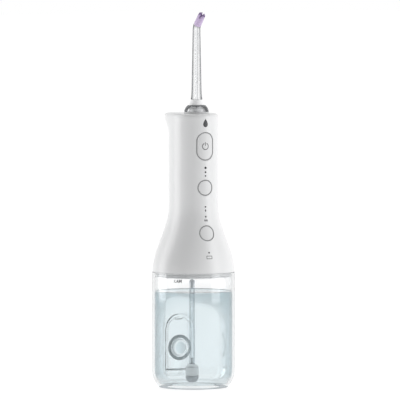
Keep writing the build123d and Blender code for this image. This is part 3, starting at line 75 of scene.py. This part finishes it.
# ------------------------------------------------------------------ camera
CAMERA_AZIMUTH = math.radians(-24.0)
CAMERA_RISE = math.radians(3.0)
CAMERA_DISTANCE = 5.0
VIEW_WIDTH = 0.318
AIM_HEIGHT = 0.149
AIM_RIGHT = 0.0052
DARK_TURN = math.radians(24.0)
TO_CAMERA = Vector((math.sin(CAMERA_AZIMUTH), -math.cos(CAMERA_AZIMUTH), 0.0))
RIGHT = Vector((math.cos(CAMERA_AZIMUTH), math.sin(CAMERA_AZIMUTH), 0.0))


def add_camera():
    camera = bpy.data.objects.new("camera", bpy.data.cameras.new("camera"))
    bpy.context.scene.collection.objects.link(camera)
    aim = RIGHT * AIM_RIGHT + Vector((0, 0, AIM_HEIGHT))
    away = TO_CAMERA * math.cos(CAMERA_RISE) + Vector((0, 0, math.sin(CAMERA_RISE)))
    camera.location = aim + away * CAMERA_DISTANCE
    camera.rotation_euler = (-away).to_track_quat("-Z", "Y").to_euler()
    camera.data.lens = camera.data.sensor_width * CAMERA_DISTANCE / VIEW_WIDTH
    camera.data.clip_start, camera.data.clip_end = 0.1, 60.0
    bpy.context.scene.camera = camera


add_camera()


# ------------------------------------------------------------------ shader helpers
class Wire:
    """An output socket in a finish. Arithmetic on it adds Math nodes."""

    def __init__(self, finish, socket):
        self.finish, self.socket = finish, socket

    def out(self, name):
        return Wire(self.finish, self.socket.node.outputs[name])

    def math(self, operation, *others, clamp=False):
        values = dict(enumerate((self, *others)))
        return self.finish.add("ShaderNodeMath", {"operation": operation, "use_clamp": clamp}, values)

    def __add__(self, other):
        return self.math("ADD", other)

    def __sub__(self, other):
        return self.math("SUBTRACT", other)

    def __rsub__(self, other):
        return self.finish.add("ShaderNodeMath", {"operation": "SUBTRACT"}, {0: other, 1: self})

    def __mul__(self, other):
        return self.math("MULTIPLY", other)

    def __truediv__(self, other):
        return self.math("DIVIDE", other)

    def __pow__(self, other):
        return self.math("POWER", other)

    __radd__, __rmul__ = __add__, __mul__

    def both(self, other):
        return self.math("MINIMUM", other)

    def either(self, other):
        return self.math("MAXIMUM", other)

    def size(self):
        return self.math("ABSOLUTE")

    def clamp(self):
        return self.math("ADD", 0.0, clamp=True)

    def below(self, edge, soft=0.00006):
        """1 where the value is under the edge, with a soft step."""
        return ((edge - self) / soft + 0.5).clamp()


class Finish:
    """A material, built from its Principled surface."""

    def __init__(self, name):
        self.material = bpy.data.materials.new(name)
        self.material.use_nodes = True
        self.tree = self.material.node_tree
        self.tree.nodes.clear()
        self.output = self.tree.nodes.new("ShaderNodeOutputMaterial")

    def add(self, kind, settings=None, values=None):
        """A node of a kind: its settings are set first, then the values or links of its sockets."""
        node = self.tree.nodes.new(kind)
        for name, value in (settings or {}).items():
            setattr(node, name, value)
        for name, value in (values or {}).items():
            self.set(node.inputs[name], value)
        shown = [socket for socket in node.outputs if socket.enabled]
        return Wire(self, shown[0])

    def set(self, socket, value):
        if isinstance(value, Wire):
            self.tree.links.new(value.socket, socket)
        elif isinstance(value, (tuple, list)) and len(value) == 3 and socket.type == "RGBA":
            socket.default_value = (*value, 1.0)
        else:
            socket.default_value = value

    def place(self):
        """The surface point in the object's own coordinates, as three wires."""
        point = self.add("ShaderNodeTexCoord").out("Object")
        split = self.add("ShaderNodeSeparateXYZ", None, {0: point})
        return point, split.out("X"), split.out("Y"), split.out("Z")

    def noise(self, point, scale, detail=3.0):
        return self.add("ShaderNodeTexNoise", None, {"Vector": point, "Scale": scale, "Detail": detail})

    def colour(self, mask, under, over):
        """under where the mask is 0, over where it is 1."""
        return self.add("ShaderNodeMix", {"data_type": "RGBA"}, {0: mask, 6: under, 7: over})

    def tints(self, mask, under, over):
        """Two clear tints: under where the mask is 0, over where it is 1."""
        first, second = (self.add("ShaderNodeBsdfTransparent", None, {"Color": c}) for c in (under, over))
        return self.add("ShaderNodeMixShader", None, {0: mask, 1: first, 2: second})

    def bump(self, height, distance, strength=1.0):
        return self.add("ShaderNodeBump", None, {"Height": height, "Distance": distance, "Strength": strength})

    def surface(self, **values):
        named = {name.replace("_", " "): value for name, value in values.items()}
        return self.add("ShaderNodeBsdfPrincipled", None, named)

    def done(self, shader):
        self.tree.links.new(shader.socket, self.output.inputs["Surface"])
        return self.material

    def lets_lamps_through(self, shader, tint):
        """Glass that doesn't cast a solid shadow."""
        ray = self.add("ShaderNodeLightPath").out("Is Shadow Ray")
        open_air = self.add("ShaderNodeBsdfTransparent", None, {"Color": tint})
        return self.add("ShaderNodeMixShader", None, {0: ray, 1: shader, 2: open_air})


# ------------------------------------------------------------------ printed marks
def teardrop(x, z, centre_x, base_z, width, height):
    """A drop with its point up, as a 0 to 1 mask."""
    rise = ((z - base_z) / height).clamp()
    half = (rise ** 0.5) * (1 - rise) * (2.6 * width / 2)
    return (half - (x - centre_x).size()).math("MULTIPLY", 1 / 0.00006, clamp=True)


def ring(x, z, centre_z, radius, line):
    away = (x * x + (z - centre_z) * (z - centre_z)) ** 0.5
    return (away - radius).size().below(line / 2)


def bar(x, z, centre_x, centre_z, half_x, half_z):
    return (x - centre_x).size().below(half_x).both((z - centre_z).size().below(half_z))


def frame_mark(x, z, centre_z, half_x, half_z, line):
    """The outline of a small box."""
    inside = bar(x, z, 0.0, centre_z, half_x - line, half_z - line)
    return bar(x, z, 0.0, centre_z, half_x, half_z) - inside


def shell_marks(x, y, z):
    """A drop at the top, a drop for each cleaning mode, and a battery outline."""
    marks = teardrop(x, z, 0.0, 0.2078, 0.0040, 0.0066)
    marks = marks.either(teardrop(x, z, 0.0, 0.1409, 0.0012, 0.0021))
    for side in (-0.0008, 0.0008):
        marks = marks.either(teardrop(x, z, side, 0.1331, 0.0012, 0.0021))
    marks = marks.either(frame_mark(x, z, 0.1050, 0.0024, 0.00125, 0.0004))
    return marks * y.below(-0.005)


PRINT = (0.055, 0.058, 0.062)


# ------------------------------------------------------------------ finishes
def moulded(name, colour, roughness, marks=None, grain=1.0, coat=0.0, painted_glow=0.0):
    """A moulded plastic: an even colour with a faint cloud, and a fine skin on its gloss. Any emission it is
    given is painted light that brightens it evenly though it is no lamp.
    """
    finish = Finish(name)
    point, x, y, z = finish.place()
    cloud = finish.noise(point, 24.0, 2.0)
    skin = finish.noise(point, 900.0, 2.0)
    deep = tuple(c * 0.975 for c in colour)
    shade = finish.colour(cloud.clamp(), colour, deep)
    if marks:
        shade = finish.colour(marks(x, y, z), shade, PRINT)
    return finish.done(finish.surface(
        Base_Color=shade, Roughness=(cloud - 0.5) * 0.06 + roughness, Coat_Weight=coat, Coat_Roughness=0.12,
        # painted light: the emission brightens the plastic in its own colour though it is no lamp
        Emission_Color=shade, Emission_Strength=painted_glow,
        Normal=finish.bump(skin, 0.00001 * grain, 0.5),
    ))


def clear(name, tint, rim, rim_power=3.0, ior=1.49, roughness=0.02, shadow=(0.94, 0.95, 0.955), tank=False):
    """A clear plastic, a little cloudy in its gloss and deeper in colour where it is seen edge on.

    The tank's wall passes on the water's colour where it is filled, and its sole lets the floor's light through,
    with a painted shade line along its lowest 0.35 mm where it stands on the floor.
    """
    finish = Finish(name)
    point, x, y, z = finish.place()
    cloud = finish.noise(point, 40.0, 2.0)
    edge_on = finish.add("ShaderNodeLayerWeight", None, {"Blend": 0.5}).out("Facing") ** rim_power
    shade = finish.colour(edge_on, tint, rim)
    if tank:
        outside = (x * x + y * y).math("GREATER_THAN", (TANK_INSIDE + 0.9 * MM) ** 2)
        filled = z.below(WATER_LEVEL, 0.0003) * outside
        shade = finish.colour(filled * 0.45, shade, (0.84, 0.89, 0.91))
    glass = finish.surface(
        Base_Color=shade, Transmission_Weight=1.0, IOR=ior, Roughness=cloud * 0.02 + roughness,
    )
    if tank:
        # painted shade: below 0.35 mm the sole is tinted dark grey where the tank meets the floor
        sole = finish.tints(z.below(0.35 * MM, 0.0003), (0.95, 0.96, 0.963), (0.5, 0.53, 0.55))
        glass = finish.add("ShaderNodeMixShader", None, {0: z.below(3.3 * MM, 0.0006) * 0.9, 1: glass, 2: sole})
    return finish.done(finish.lets_lamps_through(glass, shadow))


def metal(name, colour, roughness, brushed=0.0, along="Z"):
    """Drawn or turned metal, with fine lines along it and a faint stain."""
    finish = Finish(name)
    point, _, _, _ = finish.place()
    stretch = {"Z": (1, 1, 0.04), "X": (0.04, 1, 1)}[along]
    drawn = finish.add("ShaderNodeMapping", None, {"Vector": point, "Scale": stretch})
    lines = finish.noise(drawn, 2500.0, 3.0)
    stain = finish.noise(point, 120.0, 3.0)
    shade = finish.colour(stain.clamp(), colour, tuple(c * 0.9 for c in colour))
    return finish.done(finish.surface(
        Base_Color=shade, Metallic=1.0, Roughness=(stain - 0.5) * 0.08 + roughness,
        Normal=finish.bump(lines, 0.000004, brushed),
    ))


def soft(name, colour, roughness=0.55, painted_glow=0.0, grain=1.0):
    """Silicone or rubber with a matt, slightly dusty skin. Any emission it is given is painted light that
    brightens it evenly though it is no lamp.
    """
    finish = Finish(name)
    point, _, _, _ = finish.place()
    dust = finish.noise(point, 260.0, 4.0)
    shade = finish.colour((dust * 0.6).clamp(), colour, tuple(min(1.0, c * 1.08 + 0.01) for c in colour))
    return finish.done(finish.surface(
        Base_Color=shade, Roughness=(dust - 0.5) * 0.15 + roughness, IOR=1.41,
        # painted light: the emission brightens the silicone in its own colour though it is no lamp
        Emission_Color=shade, Emission_Strength=painted_glow, Normal=finish.bump(dust, 0.00002 * grain, 0.4),
    ))


def thin_clear(name, tint, rim, start, end, only=None, gloss=0.5, ior=1.35, mirror=None):
    """Clear and unbent: it tints what is behind it, darkens where it is seen edge on, and has a gloss.

    The edge tint comes in between two amounts of facing away, and only(x, y, z) can keep it to one place.
    mirror(x, y, z) is where the whole gloss shows.
    """
    finish = Finish(name)
    point, x, y, z = finish.place()
    ripple = finish.noise(point, 60.0, 2.0)
    turned_away = finish.add("ShaderNodeLayerWeight", None, {"Blend": 0.5}).out("Facing")
    edge = ((turned_away - start) / (end - start)).clamp()
    if only:
        edge = edge * only(x, y, z)
    body = finish.tints(edge, tint, rim)
    coat = finish.surface(
        Base_Color=(0.95, 0.95, 0.96), Roughness=ripple * 0.04 + 0.02, Metallic=1.0,
        Normal=finish.bump(ripple, 0.00001, 0.1),
    )
    shine = finish.add("ShaderNodeFresnel", None, {"IOR": ior})
    shine = shine * (mirror(x, y, z) * (1 - gloss) + gloss) if mirror else shine * gloss
    return finish.done(finish.add("ShaderNodeMixShader", None, {0: shine, 1: body, 2: coat}))


def outer_side(x, y, z):
    """1 on the water's round side, and 0 on its level and where the door's frame cuts it."""
    return (x * x + y * y).math("GREATER_THAN", (TANK_INSIDE - 1.0 * MM) ** 2)


def water_top(x, y, z):
    """1 on the level surface of the water."""
    return 1 - z.below(WATER_LEVEL - 0.05 * MM, 0.00004)


def polished_finish():
    """Bright polished steel with fine scuffs; what it shows is the room round it."""
    finish = Finish("polished_steel")
    point, _, _, _ = finish.place()
    scuff = finish.noise(point, 300.0, 3.0)
    shade = finish.colour((scuff * 0.5).clamp(), (0.57, 0.575, 0.58), (0.5, 0.505, 0.51))
    return finish.done(finish.surface(
        Base_Color=shade, Metallic=1.0, Roughness=scuff * 0.05 + 0.05, Normal=finish.bump(scuff, 0.000003, 0.2)
    ))


def ring_finish():
    """Grey silicone with a wet gloss and a little dust."""
    finish = Finish("seal_ring")
    point, _, _, _ = finish.place()
    dust = finish.noise(point, 400.0, 3.0)
    shade = finish.colour(dust.clamp(), (0.4, 0.42, 0.43), (0.3, 0.32, 0.33))
    return finish.done(finish.surface(
        Base_Color=shade, Roughness=dust * 0.1 + 0.2, Coat_Weight=0.5, Coat_Roughness=0.05,
        Normal=finish.bump(dust, 0.00001, 0.3),
    ))


def tip_finish():
    """Soft tinted silicone, deeper in colour towards the slotted end."""
    finish = Finish("tip_silicone")
    point, _, _, z = finish.place()
    rise = ((z - 0.2885) / 0.0095).clamp()
    cloud = finish.noise(point, 500.0, 3.0)
    shade = finish.colour(rise * rise, (0.74, 0.6, 0.85), (0.42, 0.31, 0.55))
    return finish.done(finish.surface(
        Base_Color=shade, Roughness=cloud * 0.1 + 0.3, Transmission_Weight=0.25, IOR=1.41,
        Normal=finish.bump(cloud, 0.00002, 0.3),
    ))


def board_finish():
    """Green lacquer over copper tracks."""
    finish = Finish("board_lacquer")
    point, _, _, _ = finish.place()
    wave = finish.add("ShaderNodeTexWave", {"wave_type": "BANDS", "bands_direction": "Z"},
                      {"Vector": point, "Scale": 160.0, "Distortion": 6.0})
    tracks = wave.out("Fac").math("GREATER_THAN", 0.82)
    shade = finish.colour(tracks, (0.02, 0.12, 0.05), (0.06, 0.22, 0.08))
    return finish.done(finish.surface(
        Base_Color=shade, Roughness=0.35, Normal=finish.bump(tracks, 0.00003, 0.6)
    ))


def cell_finish():
    """Blue shrink sleeve with a pale band at each end."""
    finish = Finish("cell_sleeve")
    point, _, _, z = finish.place()
    ends = (z - 0.166).size().below(0.0215, 0.0002)
    wrinkle = finish.noise(point, 90.0, 4.0)
    shade = finish.colour(ends, (0.55, 0.57, 0.6), (0.04, 0.16, 0.36))
    return finish.done(finish.surface(
        Base_Color=shade, Roughness=0.3, Normal=finish.bump(wrinkle, 0.0001, 0.3)
    ))


def power_mark(x, y, z):
    """The standby symbol: a broken ring with a stroke in its gap."""
    centre = 0.1926
    circle = ring(x, z, centre, 0.0025, 0.0007)
    gap = bar(x, z, 0.0, centre + 0.0025, 0.00095, 0.0012)
    return (circle - gap).clamp().either(bar(x, z, 0.0, centre + 0.0019, 0.00033, 0.0014)) * 0.85


WHITE = (0.83, 0.835, 0.84)
FINISHES = {
    "white_shell": moulded("white_shell", WHITE, 0.3, shell_marks, coat=0.15),
    "white_cap": moulded("white_cap", WHITE, 0.3, coat=0.15),
    "white_key": moulded("white_key", (0.78, 0.785, 0.79), 0.42),
    "power_key": moulded("power_key", (0.78, 0.785, 0.79), 0.42, power_mark),
    "white_inner": moulded("white_inner", (0.78, 0.785, 0.79), 0.45),
    # painted light: the nozzle neck has a faint emission that brightens it
    "nozzle_white": moulded("nozzle_white", (0.93, 0.935, 0.94), 0.5, grain=3.0, painted_glow=0.06),
    "grey_plastic": moulded("grey_plastic", (0.42, 0.435, 0.45), 0.38),
    "gear_plastic": moulded("gear_plastic", (0.72, 0.7, 0.6), 0.45),
    "chip_black": moulded("chip_black", (0.02, 0.02, 0.022), 0.5),
    "light_guide": moulded("light_guide", (0.025, 0.026, 0.03), 0.12),
    "clear_tank": clear("clear_tank", (0.985, 0.99, 0.992), (0.3, 0.33, 0.35), 3.0, tank=True),
    "clear_door": clear("clear_door", (0.98, 0.985, 0.988), (0.5, 0.54, 0.56), 3.0),
    "clear_nozzle": thin_clear("clear_nozzle", (0.955, 0.957, 0.96), (0.5, 0.505, 0.51), 0.12, 0.45),
    "clear_hose": thin_clear("clear_hose", (0.95, 0.96, 0.965), (0.6, 0.64, 0.66), 0.2, 0.7),
    "soft_grey": soft("soft_grey", (0.34, 0.345, 0.35)),
    # painted light: the fill plug has an emission that brightens it
    "soft_white": soft("soft_white", (0.94, 0.945, 0.945), 0.4, painted_glow=0.15),
    "dark_seal": soft("dark_seal", (0.16, 0.165, 0.17), 0.4),
    "soft_purple": tip_finish(),
    "steel": metal("steel", (0.56, 0.56, 0.57), 0.28, 0.4),
    "motor_steel": metal("motor_steel", (0.5, 0.51, 0.53), 0.34, 0.6, "X"),
    "polished_steel": polished_finish(),
    "brass": metal("brass", (0.78, 0.58, 0.25), 0.25, 0.3),
    "board": board_finish(),
    "cell_wrap": cell_finish(),
    "seal_ring": ring_finish(),
    "pale_seal": soft("pale_seal", (0.7, 0.71, 0.715), 0.4),
    # painted light: the dock plate has a faint emission that brightens it
    "dock_white": moulded("dock_white", (0.85, 0.855, 0.86), 0.45, painted_glow=0.08),
    "water": thin_clear(
        "water", (0.895, 0.93, 0.94), (0.66, 0.75, 0.78), 0.25, 0.9, outer_side, 0.25, 1.33, water_top
    ),
}


OWN_FINISH = {"power_button": "power_key", "dock_seal": "pale_seal", "dock_plate": "dock_white"}


def finish_nodes():
    """Every model node takes the finish of its slot in the record, or one of its own."""
    slots = {part["node"]: part["material_slot"] for part in frame["record"]["subparts"]}
    for name, node in NODES.items():
        node.data.materials.clear()
        node.data.materials.append(FINISHES[OWN_FINISH.get(name, slots[name])])


finish_nodes()


# ------------------------------------------------------------------ making pieces
def piece(name, mesh, finish, body, smooth=True):
    """A finished mesh in its place, on a body. A bmesh is read and freed."""
    if isinstance(mesh, bmesh.types.BMesh):
        bmesh.ops.remove_doubles(mesh, verts=mesh.verts, dist=1e-7)
        bmesh.ops.recalc_face_normals(mesh, faces=mesh.faces)
        data = bpy.data.meshes.new(name)
        mesh.to_mesh(data)
        mesh.free()
    else:
        data = mesh
        data.name = name
    for face in data.polygons:
        face.use_smooth = smooth
    thing = bpy.data.objects.new(name, data)
    bpy.context.scene.collection.objects.link(thing)
    data.materials.clear()
    data.materials.append(FINISHES[finish])
    if body:
        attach(thing, body)
    return thing


def turned(corners, axis, centre, steps=96):
    """A closed outline of (radius, distance along the axis) spun once round the axis."""
    mesh = bmesh.new()
    along = Vector(axis)
    across = Vector((1, 0, 0)) if abs(along.x) < 0.5 else Vector((0, 0, 1))
    loop = [mesh.verts.new(Vector(centre) + across * r + along * d) for r, d in corners]
    edges = [mesh.edges.new((loop[i], loop[(i + 1) % len(loop)])) for i in range(len(loop))]
    bmesh.ops.spin(
        mesh, geom=loop + edges, cent=centre, axis=along, angle=2 * math.pi, steps=steps, use_merge=True
    )
    return mesh


def arc(centre, radius, start, end, count):
    """Points of an arc, in degrees, as (radius, height)."""
    turns = [math.radians(start + (end - start) * i / count) for i in range(count + 1)]
    return [(centre[0] + radius * math.cos(t), centre[1] + radius * math.sin(t)) for t in turns]


def applied(thing):
    """The mesh of an object with its modifiers applied; the object is removed."""
    bpy.context.view_layer.update()
    shown = thing.evaluated_get(bpy.context.evaluated_depsgraph_get())
    mesh = bpy.data.meshes.new_from_object(shown)
    bpy.data.objects.remove(thing)
    return mesh


def water():
    """The tank's filling, clear of the wall, with a curl where its level meets the wall."""
    side = TANK_INSIDE - WATER_GAP
    low = TANK_FLOOR + WATER_GAP
    radius = CORNER_INSIDE - WATER_GAP
    start = math.degrees(math.asin((low - CORNER_CENTRE[1]) / radius))
    outline = [(0.0, low)] + arc(CORNER_CENTRE, radius, start, 0, 10)
    outline += [(side, 0.045), (side, WATER_LEVEL + 0.5 * MM), (side - 0.3 * MM, WATER_LEVEL + 0.18 * MM)]
    outline += [(side - 0.9 * MM, WATER_LEVEL), (0.0, WATER_LEVEL)]
    body = turned(outline, (0, 0, 1), (0, 0, 0), 128)
    half, face, top, bottom = DOOR_BOSS
    cutter = bmesh.new()
    spring = top - half
    ends = [(-half, bottom - WATER_GAP), (half, bottom - WATER_GAP)]
    ends += [(x, z) for x, z in arc((0, spring), half + WATER_GAP, 0, 180, 24)]
    panel = cutter.faces.new([cutter.verts.new((x, face - WATER_GAP, z)) for x, z in ends])
    grown = bmesh.ops.extrude_face_region(cutter, geom=[panel])
    moved = [g for g in grown["geom"] if isinstance(g, bmesh.types.BMVert)]
    bmesh.ops.translate(cutter, verts=moved, vec=(0, 0.02, 0))
    block = piece("boss_cutter", cutter, "water", None)
    filling = piece("filling", body, "water", None)
    cut = filling.modifiers.new("boss", "BOOLEAN")
    cut.operation, cut.object, cut.solver = "DIFFERENCE", block, "EXACT"
    mesh = applied(filling)
    bpy.data.objects.remove(block)
    piece("water", mesh, "water", "tank")


def hose():
    """The suction hose: a soft tube that hangs from its barb to the pickup."""
    line = bpy.data.curves.new("hose_route", "CURVE")
    line.dimensions = "3D"
    spline = line.splines.new("NURBS")
    spline.points.add(len(HOSE_ROUTE) - 1)
    for point, place in zip(spline.points, HOSE_ROUTE):
        point.co = (*place, 1.0)
    spline.order_u = 3
    spline.use_endpoint_u = True
    route = bpy.data.objects.new("hose_route", line)
    bpy.context.scene.collection.objects.link(route)
    followed = applied(route)
    path = [v.co.copy() for v in followed.vertices]
    mesh = bmesh.new()
    for radius in (HOSE_RADIUS, HOSE_BORE):
        made = bmesh.ops.create_circle(mesh, cap_ends=False, segments=32, radius=radius,
                                       matrix=Matrix.Translation(path[0]))
        ring_edges = list({e for v in made["verts"] for e in v.link_edges})
        for before, after in zip(path, path[1:]):
            grown = bmesh.ops.extrude_edge_only(mesh, edges=ring_edges)
            moved = [g for g in grown["geom"] if isinstance(g, bmesh.types.BMVert)]
            bmesh.ops.translate(mesh, verts=moved, vec=after - before)
            ring_edges = [g for g in grown["geom"] if isinstance(g, bmesh.types.BMEdge)
                          and all(v in moved for v in g.verts)]
    for end in (path[0].z, path[-1].z):
        rim = [e for e in mesh.edges if len(e.link_faces) == 1 and abs(e.verts[0].co.z - end) < 1e-6]
        bmesh.ops.bridge_loops(mesh, edges=rim)
    tube = piece("hose", mesh, "clear_hose", None)
    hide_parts("suction_hose")
    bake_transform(tube)
    bpy.data.meshes.remove(followed)


def fill_ring():
    """The soft seal round the fill hole, with two beads."""
    hole, height = FILL_HOLE
    bead = 0.62 * MM
    outline = [(hole + 0.15 * MM, 0.0)]
    outline += arc((hole + 0.8 * MM, -0.35 * MM), bead, 180, 360, 8)
    outline += arc((hole + 2.1 * MM, -0.35 * MM), bead, 180, 360, 8)
    outline += [(hole + 2.75 * MM, 0.0)]
    mesh = turned(outline, (0, 1, 0), (0, FACET, height), 96)
    seal = piece("fill_ring", mesh, "seal_ring", "tank")
    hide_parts("fill_gasket")


def button_spring():
    """The release button's coil spring, on its own copy of the mesh, carried by the handle."""
    coil = bmesh.new()
    coil.from_mesh(NODES["release_spring"].data)
    spring = piece("button_spring", coil, "steel", "handle")
    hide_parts("release_spring")
    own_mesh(spring)


def level_mark():
    """The fill limit, printed on the back of the tank."""
    words = bpy.data.curves.new("level_mark", "FONT")
    words.body = "MAX"
    words.size = 3.7 * MM
    words.offset = 0.00012
    words.align_x, words.align_y = "CENTER", "CENTER"
    words.extrude = 0.00002
    written = bpy.data.objects.new("level_words", words)
    bpy.context.scene.collection.objects.link(written)
    mesh = applied(written)
    mesh.transform(Matrix.Rotation(math.pi, 4, "Z") @ Matrix.Rotation(math.pi / 2, 4, "X"))
    radius = TANK_INSIDE + 2.03 * MM
    for vertex in mesh.vertices:
        turn, lift = vertex.co.x / radius, vertex.co.y
        reach = radius + lift
        vertex.co = (reach * math.sin(turn), reach * math.cos(turn), vertex.co.z + 0.0822)
    piece("level_mark", mesh, "chip_black", "tank", smooth=False)


water()
hose()
fill_ring()
button_spring()
level_mark()


# ------------------------------------------------------------------ studio
def studio_world():
    """A white room that is darker on the camera's side."""
    world = bpy.data.worlds.new("studio")
    bpy.context.scene.world = world
    world.use_nodes = True
    nodes, links = world.node_tree.nodes, world.node_tree.links
    nodes.clear()
    direction = nodes.new("ShaderNodeTexCoord")
    facing = nodes.new("ShaderNodeVectorMath")
    facing.operation = "DOT_PRODUCT"
    facing.inputs[1].default_value = TO_CAMERA * math.cos(DARK_TURN) - RIGHT * math.sin(DARK_TURN)
    links.new(direction.outputs["Generated"], facing.inputs[0])
    ramp = nodes.new("ShaderNodeMapRange")
    ramp.interpolation_type = "SMOOTHSTEP"
    for name, value in (("From Min", -0.3), ("From Max", 0.7), ("To Min", 1.0), ("To Max", 0.1)):
        ramp.inputs[name].default_value = value
    links.new(facing.outputs["Value"], ramp.inputs["Value"])
    lit = nodes.new("ShaderNodeBackground")
    links.new(ramp.outputs["Result"], lit.inputs["Strength"])
    lit.inputs["Color"].default_value = (1.0, 1.0, 1.0, 1.0)
    seen = nodes.new("ShaderNodeBackground")
    seen.inputs["Color"].default_value = (1.0, 1.0, 1.0, 1.0)
    mixer = nodes.new("ShaderNodeMixShader")
    ray = nodes.new("ShaderNodeLightPath")
    links.new(ray.outputs["Is Camera Ray"], mixer.inputs[0])
    links.new(lit.outputs[0], mixer.inputs[1])
    links.new(seen.outputs[0], mixer.inputs[2])
    output = nodes.new("ShaderNodeOutputWorld")
    links.new(mixer.outputs[0], output.inputs["Surface"])


def softbox(name, turn, height, distance, width, tall, power):
    """A soft lamp at an angle round from the camera, aimed at the object's middle."""
    lamp = bpy.data.lights.new(name, "AREA")
    lamp.shape, lamp.size, lamp.size_y, lamp.energy = "RECTANGLE", width, tall, power
    thing = bpy.data.objects.new(name, lamp)
    bpy.context.scene.collection.objects.link(thing)
    angle = math.radians(turn)
    side = TO_CAMERA * math.cos(angle) + RIGHT * math.sin(angle)
    thing.location = side * distance + Vector((0, 0, height))
    thing.rotation_euler = (Vector((0, 0, 0.14)) - thing.location).to_track_quat("-Z", "Y").to_euler()


def floor():
    mesh = bmesh.new()
    bmesh.ops.create_grid(mesh, x_segments=1, y_segments=1, size=12.0)
    bmesh.ops.translate(mesh, verts=mesh.verts, vec=(0, 0, -0.0002))
    data = bpy.data.meshes.new("floor")
    mesh.to_mesh(data)
    mesh.free()
    ground = bpy.data.objects.new("floor", data)
    bpy.context.scene.collection.objects.link(ground)
    finish = Finish("floor_paper")
    data.materials.append(finish.done(finish.surface(
        Base_Color=(0.2, 0.2, 0.2), Roughness=0.95, Emission_Color=(1.0, 1.0, 1.0), Emission_Strength=0.84
    )))


studio_world()
softbox("left_box", -98, 0.35, 0.95, 0.55, 1.0, 4.2)
softbox("right_box", 66, 0.35, 0.95, 0.5, 1.0, 3.2)
softbox("top_box", 170, 1.3, 0.5, 0.9, 0.9, 0.6)
floor()
bpy.context.scene.view_settings.view_transform = "Standard"
